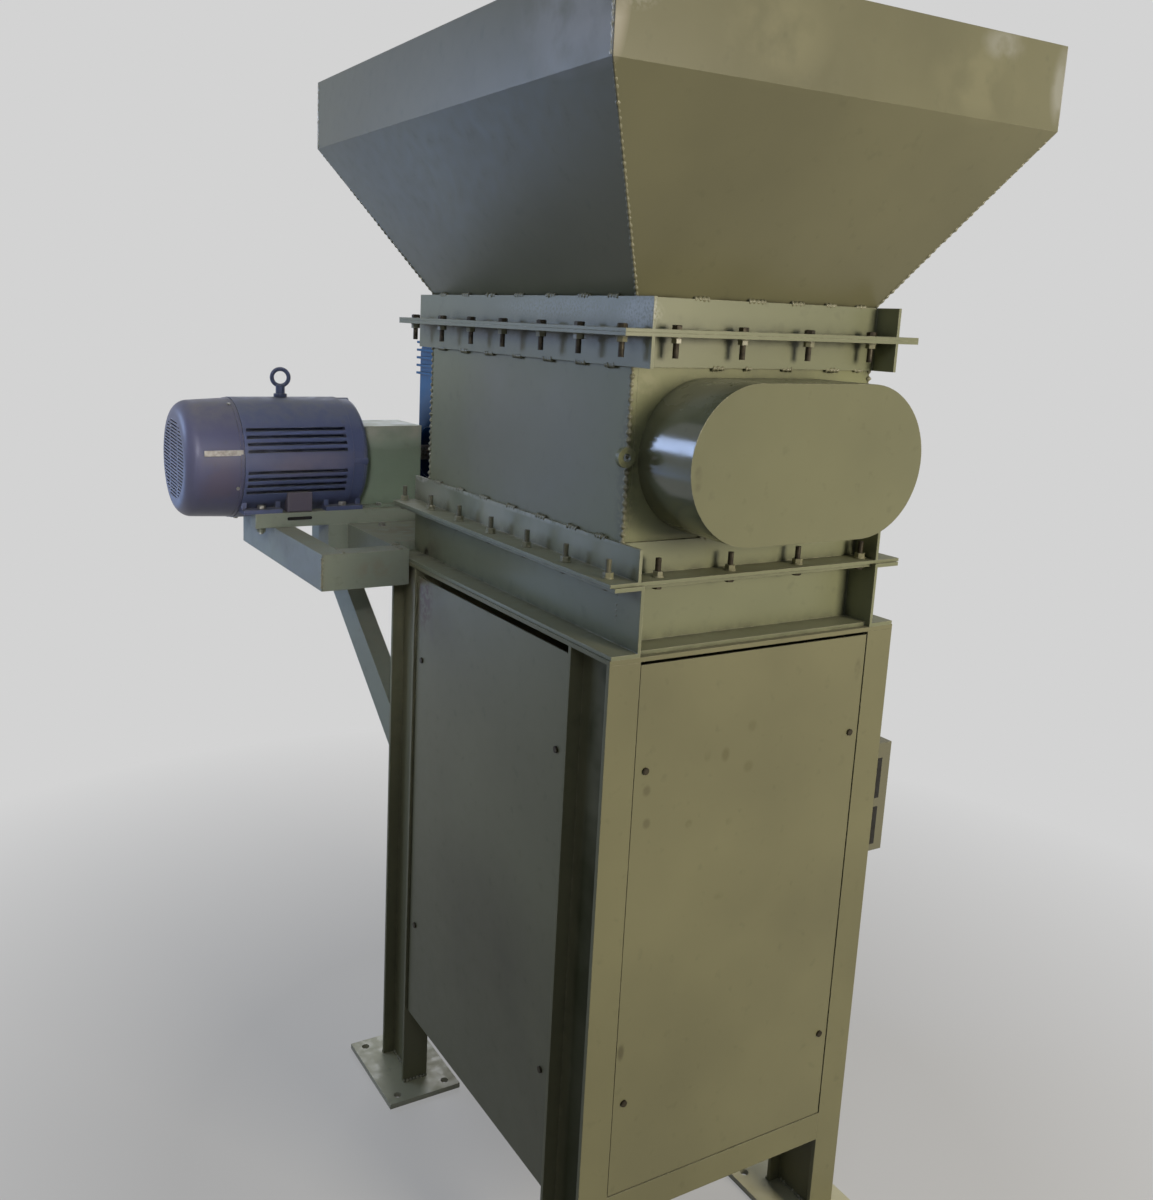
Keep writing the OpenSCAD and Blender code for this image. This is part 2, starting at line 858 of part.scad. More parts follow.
// Worm gearbox: worm below, wheel above, in an upright housing with flat ribs round its top
module gearbox() {
    base_foot_t = 18;
    rib_t = 6;
    rib_out = 8;
    ribs = 5;
    rib_pitch = 20;
    corner_r = 60;
    worm_r = 66;
    wheel_boss_r = 88;
    boss_out = 12;
    wheel_h = axle_z - bar_top;
    half_w = gearbox_w / 2 - rib_out;
    half_d = gearbox_d / 2 - boss_out;
    foot_reach = foot_span / 2 + bar_w / 2;
    color(gear_blue)
        translate([gearbox_x, motor_y, bar_top]) {
            block([-half_w, -foot_reach, 0], [half_w, foot_reach, base_foot_t]);
            rotate([90, 0, 0])
                linear_extrude(2 * half_d, center = true) {
                    translate([-half_w, 0])
                        square([2 * half_w, gearbox_h - corner_r]);
                    translate([corner_r - half_w, 0])
                        square([2 * (half_w - corner_r), gearbox_h]);
                    for (s = [-1, 1])
                        translate([s * (half_w - corner_r), gearbox_h - corner_r])
                            circle(r = corner_r);
                }
            translate([0, 0, axis_h])
                bar_x(-gearbox_w / 2, gearbox_w / 2, worm_r);
            translate([0, 0, wheel_h])
                bar_y(-gearbox_d / 2, gearbox_d / 2, wheel_boss_r);
            for (k = [0 : ribs - 1])
                translate([0, 0, wheel_h + 66 + k * rib_pitch])
                    block([-gearbox_w / 2, -half_d - rib_out, 0],
                          [gearbox_w / 2, half_d + rib_out, rib_t]);
        }
}

module output_coupling() {
    flange_r = 92;
    color(steel)
        translate([shaft_right, 0, axle_z]) {
            bar_y(shaft_end, gearbox_front, shaft_r);
            difference() {
                bar_y(shaft_end - 70, shaft_end + 70, 68);
                bar_y(shaft_end - 71, shaft_end, shaft_r + shaft_gap);
            }
            difference() {
                bar_y(shaft_end - 16, shaft_end + 16, flange_r);
                bar_y(shaft_end - 17, shaft_end, shaft_r + shaft_gap);
            }
        }
}

// ---- small parts ----

module switch_box() {
    color(sage)
        block([stand_w / 2, -stand_d / 2, box_z],
              [stand_w / 2 + box_t, -stand_d / 2 + leg_depth, box_z + box_h]);
}

leg(-1, -1);  // leg_front_left
leg(1, -1);  // leg_front_right
leg(-1, 1);  // leg_rear_left
leg(1, 1);  // leg_rear_right
base_plates();
top_plate();
bottom_rails();
end_panel(-1);  // panel_front
end_panel(1);  // panel_rear
side_panel(-1);  // panel_left
side_panel(1);  // panel_right
pedestal();
lower_flange();
upper_flange();
hopper_flange();
chamber_end(-1);  // chamber_front
chamber_end(1);  // chamber_rear
chamber_side(-1);  // chamber_left
chamber_side(1);  // chamber_right
color(sage) hopper_wall(0);  // hopper_front
color(sage) hopper_wall(2);  // hopper_rear
color(sage) hopper_wall(3);  // hopper_left
color(sage) hopper_wall(1);  // hopper_right
cutter_left();
cutter_right();
rear_bearings();
gear_cover();
edge_lug();
platform_frame();
brace(-1);  // brace_left
brace(1);  // brace_right
drive_bars();
motor_frame();
motor_fan_cover();
motor_end_bell();
motor_eye_bolt();
coupling_guard();
input_coupling();
gearbox();
output_coupling();
switch_box();
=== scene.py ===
import math

import bmesh
import bpy
from mathutils import Matrix, Vector


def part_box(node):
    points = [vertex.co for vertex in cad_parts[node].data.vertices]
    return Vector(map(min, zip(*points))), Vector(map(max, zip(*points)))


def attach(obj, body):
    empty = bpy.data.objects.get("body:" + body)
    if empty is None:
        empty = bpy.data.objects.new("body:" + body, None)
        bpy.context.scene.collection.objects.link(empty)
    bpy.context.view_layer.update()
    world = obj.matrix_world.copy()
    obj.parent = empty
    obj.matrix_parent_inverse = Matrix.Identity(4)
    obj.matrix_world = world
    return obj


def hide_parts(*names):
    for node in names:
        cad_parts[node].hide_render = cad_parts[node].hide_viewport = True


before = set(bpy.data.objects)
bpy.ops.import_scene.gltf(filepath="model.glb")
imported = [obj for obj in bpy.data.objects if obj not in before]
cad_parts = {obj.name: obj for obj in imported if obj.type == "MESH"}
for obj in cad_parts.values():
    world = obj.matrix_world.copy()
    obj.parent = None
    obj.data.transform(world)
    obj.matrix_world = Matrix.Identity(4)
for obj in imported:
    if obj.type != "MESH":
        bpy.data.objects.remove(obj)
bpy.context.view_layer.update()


# ---- Stand: four legs, top plate, bottom rails, base plates ----
# Four rolled I-section legs, welded under a steel plate and on square-cut base plates.
# Mild steel, sprayed with sage green machine enamel. Fillet welds hold the feet.

# One millimetre in metres, and the enamel's colour on the stand.
mm = 0.001
SAGE = "7d7b5e"


def linear(code):
    """An sRGB hex colour as linear red, green, blue and alpha."""
    parts = [int(code[i:i + 2], 16) / 255 for i in (0, 2, 4)]
    return [p / 12.92 if p <= 0.04045 else ((p + 0.055) / 1.055) ** 2.4 for p in parts] + [1.0]


def add(tree, kind, feeds=None, **settings):
    """Adds one node with its settings and links. A feed is a value, a socket, a node or a list of
    nodes, and a node gives its first open output."""
    made = tree.nodes.new(kind)
    for title, value in settings.items():
        setattr(made, title, value)
    for key, value in (feeds or {}).items():
        many = isinstance(value, list) and isinstance(value[0], bpy.types.Node)
        for item in value if many else [value]:
            if isinstance(item, bpy.types.Node):
                item = next(end for end in item.outputs if end.enabled)
            if isinstance(item, bpy.types.NodeSocket):
                tree.links.new(item, made.inputs[key])
            else:
                made.inputs[key].default_value = item
    return made


def grain(tree, place, size, detail, stretch=(1, 1, 1)):
    """Cloudy noise whose blotches are about size millimetres wide."""
    laid = add(tree, "ShaderNodeMapping", {"Vector": place, "Scale": stretch})
    return add(tree, "ShaderNodeTexNoise", {"Vector": laid, "Scale": 1000 / size, "Detail": detail})


def stain(tree, place, under, centre, reach, code, cover, blotch):
    """A ragged mark of that colour round a point; reach is its half size on each axis, in mm."""
    centre = [c * mm for c in centre]
    shrink = [1 / (r * mm) for r in reach]
    away = add(tree, "ShaderNodeVectorMath", {0: place, 1: centre}, operation="SUBTRACT")
    away = add(tree, "ShaderNodeVectorMath", {0: away, 1: shrink}, operation="MULTIPLY")
    away = add(tree, "ShaderNodeVectorMath", {0: away}, operation="LENGTH")
    inside = add(tree, "ShaderNodeMapRange", {0: away, 1: 1.0, 2: 0.45})
    ragged = add(tree, "ShaderNodeMapRange", {0: grain(tree, place, blotch, 4), 1: 0.38, 2: 0.56})
    share = add(tree, "ShaderNodeMath", {0: inside, 1: ragged}, operation="MULTIPLY")
    share = add(tree, "ShaderNodeMath", {0: share, 1: cover}, operation="MULTIPLY")
    return add(tree, "ShaderNodeMix", {0: share, 6: under, 7: linear(code)}, data_type="RGBA")


# Sprayed enamel: an even coat with a faint orange peel that blurs reflections, dust on what
# faces up, grime and painted shade in the corners, and paler, duller paint on the edges, partly
# rubbed paint and partly a painted highlight along them.
# Dark grime and painted shade are matt, so the shine fades where the colour gets dark.
def enamel(title, code, gloss=0.36, dust=0.35, grime_and_shade=0.6, wear_and_edge_highlight=0.55, waves=0.35, shine=0.5,
           stains=()):
    paint = bpy.data.materials.new(title)
    paint.use_nodes = True
    tree = paint.node_tree
    tree.nodes.clear()
    place = add(tree, "ShaderNodeTexCoord").outputs["Object"]
    facing = add(tree, "ShaderNodeNewGeometry").outputs["Normal"]
    mottle = grain(tree, place, 26, 4)

    # The coat varies a little from one sweep of the gun to the next, with small dull spots.
    base = linear(code)
    darker = [c * 0.90 for c in base[:3]] + [1.0]
    lighter = [min(1, c * 1.10) for c in base[:3]] + [1.0]
    sweep = add(tree, "ShaderNodeMapRange", {0: grain(tree, place, 420, 4), 1: 0.35, 2: 0.65})
    spots = add(tree, "ShaderNodeMapRange", {0: mottle, 1: 0.62, 2: 0.74, 4: 0.22})
    colour = add(tree, "ShaderNodeMix", {0: sweep, 6: darker, 7: lighter}, data_type="RGBA")
    colour = add(tree, "ShaderNodeMix", {0: spots, 6: colour, 7: linear("5b5a44")},
                 data_type="RGBA")
    for mark in stains:
        colour = stain(tree, place, colour, *mark)

    # Dust lies in patches on what faces up.
    up = add(tree, "ShaderNodeSeparateXYZ", {0: facing}).outputs["Z"]
    flat = add(tree, "ShaderNodeMapRange", {0: up, 1: 0.5, 2: 0.95})
    patchy = add(tree, "ShaderNodeMapRange", {0: mottle, 1: 0.35, 2: 0.6, 3: 0.4})
    dusty = add(tree, "ShaderNodeMath", {0: flat, 1: patchy}, operation="MULTIPLY")
    share = add(tree, "ShaderNodeMath", {0: dusty, 1: dust}, operation="MULTIPLY")
    colour = add(tree, "ShaderNodeMix", {0: share, 6: colour, 7: linear("a8a48c")},
                 data_type="RGBA")

    # Painted shade and grime darken the colour within 30 mm of an inner corner, where occlusion
    # finds shade.
    close = add(tree, "ShaderNodeAmbientOcclusion", {"Distance": 30 * mm}, samples=3).outputs["AO"]
    corner = add(tree, "ShaderNodeMapRange", {0: close, 1: 0.75, 2: 0.3})
    patchy = add(tree, "ShaderNodeMapRange", {0: mottle, 1: 0.3, 2: 0.6, 3: 0.35})
    share = add(tree, "ShaderNodeMath", {0: corner, 1: patchy}, operation="MULTIPLY")
    share = add(tree, "ShaderNodeMath", {0: share, 1: grime_and_shade}, operation="MULTIPLY")
    colour = add(tree, "ShaderNodeMix", {0: share, 6: colour, 7: linear("35342a")},
                 data_type="RGBA")

    # Outer edges, where the eased normal leaves the true one, are painted pale in places: rubbed
    # paint, and a painted highlight along the edges.
    eased = add(tree, "ShaderNodeBevel", {"Radius": 1.8 * mm}, samples=3)
    same = add(tree, "ShaderNodeVectorMath", {0: facing, 1: eased}, operation="DOT_PRODUCT")
    edge = add(tree, "ShaderNodeMapRange", {0: same, 1: 0.995, 2: 0.88})
    flecks = grain(tree, place, 14, 3)
    patchy = add(tree, "ShaderNodeMapRange", {0: flecks, 1: 0.4, 2: 0.62, 3: 0.15})
    share = add(tree, "ShaderNodeMath", {0: edge, 1: patchy}, operation="MULTIPLY")
    share = add(tree, "ShaderNodeMath", {0: share, 1: wear_and_edge_highlight}, operation="MULTIPLY")
    colour = add(tree, "ShaderNodeMix", {0: share, 6: colour, 7: linear("b4b196")},
                 data_type="RGBA")

    # Dust dulls the coat, the metal under it is slightly wavy, and the spray left its peel, drawn
    # a little coarser than real so that it shows.
    rough = add(tree, "ShaderNodeMapRange",
                {0: mottle, 1: 0.3, 2: 0.7, 3: gloss - 0.02, 4: gloss + 0.05})
    film = add(tree, "ShaderNodeMath", {0: dusty, 1: 0.3}, operation="MULTIPLY")
    rough = add(tree, "ShaderNodeMath", {0: rough, 1: film}, operation="ADD")
    waved = add(tree, "ShaderNodeBump", {
        "Height": grain(tree, place, 190, 1), "Distance": waves * mm, "Strength": 1.0,
        "Normal": eased})
    peeled = add(tree, "ShaderNodeBump", {
        "Height": grain(tree, place, 2.6, 1), "Distance": 0.05 * mm, "Strength": 0.7,
        "Normal": waved})
    sheen = add(tree, "ShaderNodeMapRange", {0: colour, 1: 0.02, 2: 0.08, 4: shine})
    shader = add(tree, "ShaderNodeBsdfPrincipled", {
        "Base Color": colour, "Roughness": rough, "Normal": peeled, "Specular IOR Level": sheen})
    add(tree, "ShaderNodeOutputMaterial", {"Surface": shader})
    return paint


def dress(material, *titles):
    """Gives CAD nodes their finish."""
    for title in titles:
        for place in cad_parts[title].material_slots:
            place.material = material


# Mill scale under the coat leaves rolled steel half matt, and a painted shade darkens both sides of
# the left front leg's web, deep between its flanges.
web = [(low + high) / 2 / mm for low, high in zip(*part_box("leg_front_left"))]
stand_paint = enamel("sage_enamel_on_rolled_steel", SAGE, gloss=0.46, shine=0.28, stains=[
    ((web[0] - 3, web[1], 640), (12, 52, 2400), "34361f", 0.85, blotch) for blotch in (400, 230)])
dress(stand_paint, "leg_front_left", "leg_front_right", "leg_rear_left", "leg_rear_right",
      "top_plate", "bottom_rails")
# The plates' coat is pale: trodden dust, and painted light on plates that sit in the machine's
# shade. Feet have polished it a little.
base_paint = enamel("sage_enamel_on_base_plates", "c8c4a0", gloss=0.3, dust=0.1, shine=0.9)
dress(base_paint, "base_plates")


def new_tree(title, sockets):
    """An empty geometry tree with these inputs: (name, kind, value)."""
    tree = bpy.data.node_groups.new(title, "GeometryNodeTree")
    tree.interface.new_socket("Geometry", in_out="INPUT", socket_type="NodeSocketGeometry")
    for name, kind, value in sockets:
        made = tree.interface.new_socket(name, in_out="INPUT", socket_type="NodeSocket" + kind)
        if value is not None:
            made.default_value = value
    tree.interface.new_socket("Geometry", in_out="OUTPUT", socket_type="NodeSocketGeometry")
    return tree


def grow(title, source, tree, slot, **values):
    """Runs a tree on a source mesh and keeps the plain mesh it makes as a piece of the machine."""
    seed = bpy.data.objects.new(title + ".source", source)
    bpy.context.scene.collection.objects.link(seed)
    made = seed.modifiers.new("made", "NODES")
    made.node_group = tree
    for item in tree.interface.items_tree:
        key = item.name.replace(" ", "_").lower()
        if item.in_out == "INPUT" and key in values:
            made[item.identifier] = values[key]
    ready = seed.evaluated_get(bpy.context.evaluated_depsgraph_get())
    mesh = bpy.data.meshes.new_from_object(ready)
    seed.modifiers.remove(made)
    bpy.data.objects.remove(seed)
    piece = bpy.data.objects.new(title, mesh)
    bpy.context.scene.collection.objects.link(piece)
    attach(piece, "root")
    return piece


# A weld bead: a round ridge along each seam, lumpy where the welder's hand paused. Its height
# and its line wander over about 11 and 17 mm.
bead_tree = new_tree("weld_bead", [
    ("Bead radius", "Float", 3.5 * mm), ("Lump pitch", "Float", 9 * mm),
    ("Lump height", "Float", 0.35), ("Wander", "Float", 1.2 * mm), ("Material", "Material", None)])
given = add(bead_tree, "NodeGroupInput").outputs
seam = add(bead_tree, "GeometryNodeMeshToCurve", {"Mesh": given["Geometry"]})
seam = add(bead_tree, "GeometryNodeResampleCurve", {"Curve": seam, "Length": 2.2 * mm},
           mode="LENGTH")
along = add(bead_tree, "GeometryNodeSplineParameter").outputs["Length"]
turn = add(bead_tree, "ShaderNodeMath", {0: along, 1: given["Lump pitch"]}, operation="DIVIDE")
turn = add(bead_tree, "ShaderNodeMath", {0: turn, 1: 2 * math.pi}, operation="MULTIPLY")
swell = add(bead_tree, "ShaderNodeMath", {0: turn}, operation="SINE")
blot = add(bead_tree, "ShaderNodeTexNoise", {"Scale": 90.0, "Detail": 2.0})
blot = add(bead_tree, "ShaderNodeMapRange", {0: blot, 1: 0.3, 2: 0.7, 3: 0.75, 4: 1.25})
swell = add(bead_tree, "ShaderNodeMath", {0: swell, 1: given["Lump height"], 2: 1.0},
            operation="MULTIPLY_ADD")
swell = add(bead_tree, "ShaderNodeMath", {0: swell, 1: blot}, operation="MULTIPLY")
stray = add(bead_tree, "ShaderNodeTexNoise", {"Scale": 60.0, "Detail": 1.0}).outputs["Color"]
stray = add(bead_tree, "ShaderNodeVectorMath", {0: stray, 1: (0.5, 0.5, 0.5)},
            operation="SUBTRACT")
stray = add(bead_tree, "ShaderNodeVectorMath", {0: stray, "Scale": given["Wander"]},
            operation="SCALE")
seam = add(bead_tree, "GeometryNodeSetPosition", {"Geometry": seam, "Offset": stray})
ring = add(bead_tree, "GeometryNodeCurvePrimitiveCircle",
           {"Resolution": 8, "Radius": given["Bead radius"]})
bead = add(bead_tree, "GeometryNodeCurveToMesh",
           {"Curve": seam, "Profile Curve": ring, "Scale": swell, "Fill Caps": True})
bead = add(bead_tree, "GeometryNodeSetShadeSmooth", {0: bead})
bead = add(bead_tree, "GeometryNodeSetMaterial", {"Geometry": bead, "Material": given["Material"]})
bead = add(bead_tree, "GeometryNodeRealizeInstances", {0: bead})
add(bead_tree, "NodeGroupOutput", {"Geometry": bead})

# The sprayed coat is thin on the beads' crests, so they look paler than the steel and glint.
weld_paint = enamel("enamel_over_weld_beads", "86846a", gloss=0.30, dust=0.2, grime_and_shade=0.8, wear_and_edge_highlight=0.9,
                    waves=0.0)


def weld(title, runs, slot, **values):
    """Weld beads along straight runs: each run is a pair of points in mm."""
    source = bpy.data.meshes.new(title)
    source.from_pydata([[c * mm for c in point] for run in runs for point in run],
                       [(2 * i, 2 * i + 1) for i in range(len(runs))], [])
    values.setdefault("material", weld_paint)
    return grow(title, source, bead_tree, slot, **values)


# A bead along both flanges and both sides of the web of each leg.
bead_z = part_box("base_plates")[1].z / mm + 1
web_side, flange = 3, 9
foot_runs = []
for name in ("leg_front_left", "leg_front_right", "leg_rear_left", "leg_rear_right"):
    low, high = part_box(name)
    x0, x1, y0, y1 = (v / mm for v in (low.x, high.x, low.y, high.y))
    middle = (x0 + x1) / 2
    for y in (y0, y1):
        foot_runs.append(((x0, y, bead_z), (x1, y, bead_z)))
    for side in (-web_side, web_side):
        foot_runs.append(((middle + side, y0 + flange, bead_z),
                          (middle + side, y1 - flange, bead_z)))
weld("foot_welds", foot_runs, "paint_stand", bead_radius=4 * mm)


# ---- Stand panels ----
# Four folded 3 mm sheets that close the stand, let in between the legs. Sprayed steel sheet,
# each held by four dark round-headed screws, with a few faint knocks from handling.

# Marks as (centre, reach, colour, cover, blotch): brown smears high on the left panel, knocks on
# the front one, and a painted shade that darkens the left panel low down.
panel_marks = [
    ((-314, 275, 1212), (40, 44, 80), "6b4c3a", 0.80, 11),
    ((-314, 240, 1120), (40, 20, 70), "6e6152", 0.30, 60),
    ((-61, -439, 1080), (11, 12, 16), "625e3f", 0.55, 60),
    ((-101, -439, 1084), (9, 12, 13), "625e3f", 0.50, 60),
    ((-5, -439, 1125), (12, 12, 14), "625e3f", 0.40, 50),
    ((-6, -439, 1049), (14, 12, 14), "625e3f", 0.40, 50),
    ((-228, -439, 1041), (10, 12, 12), "57523c", 0.50, 50),
    ((-224, -439, 981), (10, 12, 12), "57523c", 0.50, 50),
    ((-132, -439, 963), (10, 12, 10), "625e3f", 0.40, 50),
    ((-41, -439, 951), (10, 12, 10), "625e3f", 0.40, 50),
    ((-49, -439, 809), (16, 12, 9), "625e3f", 0.40, 50),
    ((242, -439, 1200), (10, 12, 26), "4f4a34", 0.50, 50),
    ((-247, -439, 553), (9, 12, 22), "4a4430", 0.60, 50),
    # Painted shade: the left panel darker towards the floor.
    ((-314, -60, 400), (16, 460, 420), "403d30", 0.60, 900),
]
# Thin sheet gives a little, so its reflections wander more than those of rolled steel.
panel_paint = enamel("sage_enamel_on_sheet", SAGE, gloss=0.38, wear_and_edge_highlight=0.35, waves=0.6, shine=0.3,
                     stains=panel_marks)
dress(panel_paint, "panel_front", "panel_rear", "panel_left", "panel_right")


# Bare or thinly plated metal that has gone dull: blotches of oxide over the metal's own colour,
# and a fine unevenness that breaks up what it mirrors.
def dull_steel(title, code, rough, metal, spots):
    finish = bpy.data.materials.new(title)
    finish.use_nodes = True
    tree = finish.node_tree
    tree.nodes.clear()
    place = add(tree, "ShaderNodeTexCoord").outputs["Object"]
    blotch = grain(tree, place, 9, 4)
    rust = add(tree, "ShaderNodeMapRange", {0: blotch, 1: 0.42, 2: 0.66})
    colour = add(tree, "ShaderNodeMix", {0: rust, 6: linear(code), 7: linear(spots)},
                 data_type="RGBA")
    uneven = add(tree, "ShaderNodeBump", {
        "Height": grain(tree, place, 2.2, 3), "Distance": 0.12 * mm, "Strength": 0.8})
    rough = add(tree, "ShaderNodeMapRange",
                {0: blotch, 1: 0.35, 2: 0.7, 3: rough - 0.07, 4: rough + 0.16})
    shader = add(tree, "ShaderNodeBsdfPrincipled", {
        "Base Color": colour, "Metallic": metal, "Normal": uneven, "Roughness": rough})
    add(tree, "ShaderNodeOutputMaterial", {"Surface": shader})
    return finish


# Oxide has turned the screws nearly black and half matt; zinc leaves a soft pale grey gleam.
dark_steel = dull_steel("oxidised_screw_steel", "37301f", 0.55, metal=0.4, spots="221b10")
zinc_steel = dull_steel("dulled_zinc_plate", "b9b8b0", 0.36, metal=0.9, spots="7f7b70")
# Nuts and studs were sprayed with the stand: spanners have rubbed the nuts pale, and rust shows
# through the thin coat of the studs.
nut_paint = enamel("enamel_over_nuts", "8b896c", gloss=0.32, dust=0.3, grime_and_shade=0.5, wear_and_edge_highlight=0.8,
                   waves=0.0)
stud_paint = enamel("enamel_over_studs", "5c5a44", gloss=0.40, grime_and_shade=0.7, wear_and_edge_highlight=0.5, waves=0.0)

# One bolt for each point: head, shank, washer and nut, turned at random about its own axis.
bolt_tree = new_tree("bolt_set", [
    ("Head corners", "Int", 6), ("Across head", "Float", 16 * mm),
    ("Head height", "Float", 6.4 * mm), ("Shank", "Float", 10 * mm), ("Grip", "Float", 12 * mm),
    ("Washer", "Float", 20 * mm), ("Nut height", "Float", 8 * mm), ("Tail", "Float", 24 * mm),
    ("Direction", "Vector", (0, 0, 1)), ("Seed", "Int", 1),
    ("Head material", "Material", None), ("Nut material", "Material", None)])
given = add(bolt_tree, "NodeGroupInput").outputs


def upright(tree, corners, radius, height, bottom, material):
    """A round or cornered bar on the tree's own Z axis, standing on bottom."""
    body = add(tree, "GeometryNodeMeshCylinder",
               {"Vertices": corners, "Radius": radius, "Depth": height})
    half = add(tree, "ShaderNodeMath", {0: height, 1: 0.5}, operation="MULTIPLY")
    middle = add(tree, "ShaderNodeMath", {0: bottom, 1: half}, operation="ADD")
    lift = add(tree, "ShaderNodeCombineXYZ", {"Z": middle})
    body = add(tree, "GeometryNodeTransform", {"Geometry": body, "Translation": lift})
    return add(tree, "GeometryNodeSetMaterial", {"Geometry": body, "Material": material})


# Radii come from the sizes across flats and diameters: a hexagon's corners lie 0.577 of its flats
# out, and a head's are eased. Heights run down from under the head.
washer_t = 2 * mm
across = given["Across head"]
head_r = add(bolt_tree, "ShaderNodeMath", {0: across, 1: 0.57}, operation="MULTIPLY")
crown_r = add(bolt_tree, "ShaderNodeMath", {0: across, 1: 0.46}, operation="MULTIPLY")
nut_r = add(bolt_tree, "ShaderNodeMath", {0: across, 1: 0.577}, operation="MULTIPLY")
head_h, nut_h = given["Head height"], given["Nut height"]
crown_h = add(bolt_tree, "ShaderNodeMath", {0: head_h, 1: 0.12}, operation="MULTIPLY")
shank_r = add(bolt_tree, "ShaderNodeMath", {0: given["Shank"], 1: 0.5}, operation="MULTIPLY")
washer_r = add(bolt_tree, "ShaderNodeMath", {0: given["Washer"], 1: 0.5}, operation="MULTIPLY")
washer_z = add(bolt_tree, "ShaderNodeMath", {0: -washer_t, 1: given["Grip"]},
               operation="SUBTRACT")
nut_z = add(bolt_tree, "ShaderNodeMath", {0: washer_z, 1: nut_h}, operation="SUBTRACT")
tail_z = add(bolt_tree, "ShaderNodeMath", {0: nut_z, 1: given["Tail"]}, operation="SUBTRACT")
shank_l = add(bolt_tree, "ShaderNodeMath", {0: tail_z, 1: -1.0}, operation="MULTIPLY")
head_finish, nut_finish = given["Head material"], given["Nut material"]
bolt = add(bolt_tree, "GeometryNodeJoinGeometry", {0: [
    upright(bolt_tree, given["Head corners"], head_r, head_h, 0.0, head_finish),
    upright(bolt_tree, 16, crown_r, crown_h, head_h, head_finish),
    upright(bolt_tree, 12, shank_r, shank_l, tail_z, head_finish),
    upright(bolt_tree, 20, washer_r, washer_t, washer_z, nut_finish),
    upright(bolt_tree, 6, nut_r, nut_h, nut_z, nut_finish)]})
aim = add(bolt_tree, "FunctionNodeAlignRotationToVector", {"Vector": given["Direction"]}, axis="Z")
spin = add(bolt_tree, "FunctionNodeRandomValue", {2: 0.0, 3: math.pi, 8: given["Seed"]})
spin = add(bolt_tree, "FunctionNodeAxisAngleToRotation", {"Axis": (0, 0, 1), "Angle": spin})
aim = add(bolt_tree, "FunctionNodeRotateRotation", {0: aim, 1: spin}, rotation_space="LOCAL")
bolt = add(bolt_tree, "GeometryNodeInstanceOnPoints",
           {"Points": given["Geometry"], "Instance": bolt, "Rotation": aim})
bolt = add(bolt_tree, "GeometryNodeRealizeInstances", {0: bolt})
add(bolt_tree, "NodeGroupOutput", {"Geometry": bolt})


def fasten(title, points, direction, slot, **values):
    """Bolts at these points in mm, whose heads sit there and face direction."""
    source = bpy.data.meshes.new(title)
    source.from_pydata([[c * mm for c in point] for point in points], [], [])
    values.setdefault("head_material", dark_steel)
    values.setdefault("nut_material", nut_paint)
    return grow(title, source, bolt_tree, slot, direction=direction, **values)


screw = dict(head_corners=20, across_head=11 * mm, head_height=3.2 * mm, shank=5 * mm, grip=3 * mm,
             washer=8 * mm, nut_height=2 * mm, tail=4 * mm)
front_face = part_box("panel_front")[0].y / mm
side_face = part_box("panel_left")[0].x / mm
front_screws = [(x, z) for x in (-234, 236) for z in (447, 1078)]
side_screws = [(y, z) for y in (-283, 283) for z in (437, 1072)]
fasten("screws_front", [(x, front_face, z) for x, z in front_screws], (0, -1, 0), "paint_panel",
       **screw)
fasten("screws_rear", [(x, -front_face, z) for x, z in front_screws], (0, 1, 0), "paint_panel",
       **screw)
fasten("screws_left", [(side_face, y, z) for y, z in side_screws], (-1, 0, 0), "paint_panel",
       **screw)
fasten("screws_right", [(-side_face, y, z) for y, z in side_screws], (1, 0, 0), "paint_panel",
       **screw)


# ---- Pedestal and rings ----
# A welded frame of 120 mm channels carries the chamber, and three rings of rolled angle make the
# bolted joints. Enamelled steel, stitch-welded to the walls, with 10 mm bolts through the rings.

# Hands and tools have rubbed the ledges pale, a painted shadow darkens the upright leaf under the
# upper ring's flange, and a little rust has run down at the rear of the pedestal.
frame_marks = [
    ((-266, -402, 1836), (60, 75, 30), "c6c8be", 0.50, 5),
    ((-290, -150, 1840), (60, 260, 24), "b4b6ac", 0.32, 5),
    ((-270, 400, 1458), (26, 40, 10), "d8d6c6", 0.95, 12),
    ((-268, 0, 1458), (10, 430, 7), "c9c8b6", 0.75, 20),
    ((-270, 0, 1430), (12, 620, 58), "b3b29a", 0.80, 300),
    # Painted shadow under the upper ring's flange.
    ((-270, 0, 1794), (8, 440, 22), "3a392e", 0.55, 500),
    ((-270, 0, 1790), (8, 440, 26), "3a392e", 0.35, 120),
    ((-266, 350, 1290), (30, 60, 60), "5a4c3a", 0.50, 60),
    ((-266, 376, 1291), (30, 16, 18), "2e2417", 0.90, 90),
]
frame_paint = enamel("sage_enamel_on_channels_and_angles", "7c7f62", gloss=0.38, grime_and_shade=0.95,
                     wear_and_edge_highlight=1.0, stains=frame_marks)
dress(frame_paint, "pedestal", "lower_flange", "upper_flange", "hopper_flange")

# The bolts' places on the front and the left side. The lower ring's studs start under the
# pedestal's channel flange.
angle_t, channel_t = 6, 7
ring_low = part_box("lower_flange")
ring_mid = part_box("upper_flange")
ring_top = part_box("hopper_flange")
stud_z = ring_low[0].z / mm - channel_t
joint_z = ring_mid[1].z / mm
upper_front = [(-204, -407), (-66, -407), (80, -407), (227, -407)]
upper_side = [(-297, y) for y in (395, 264, 133, 3, -138, -262, -388)]
lower_front = [(-213, -410), (-59, -410), (95, -410), (249, -410)]
lower_side = [(-299, y) for y in (427, 291, 155, 17, -123, -258, -390)]


def all_round(front, side):
    """The same places on the other two sides."""
    return front + side + [(x, -y) for x, y in front] + [(-x, y) for x, y in side]


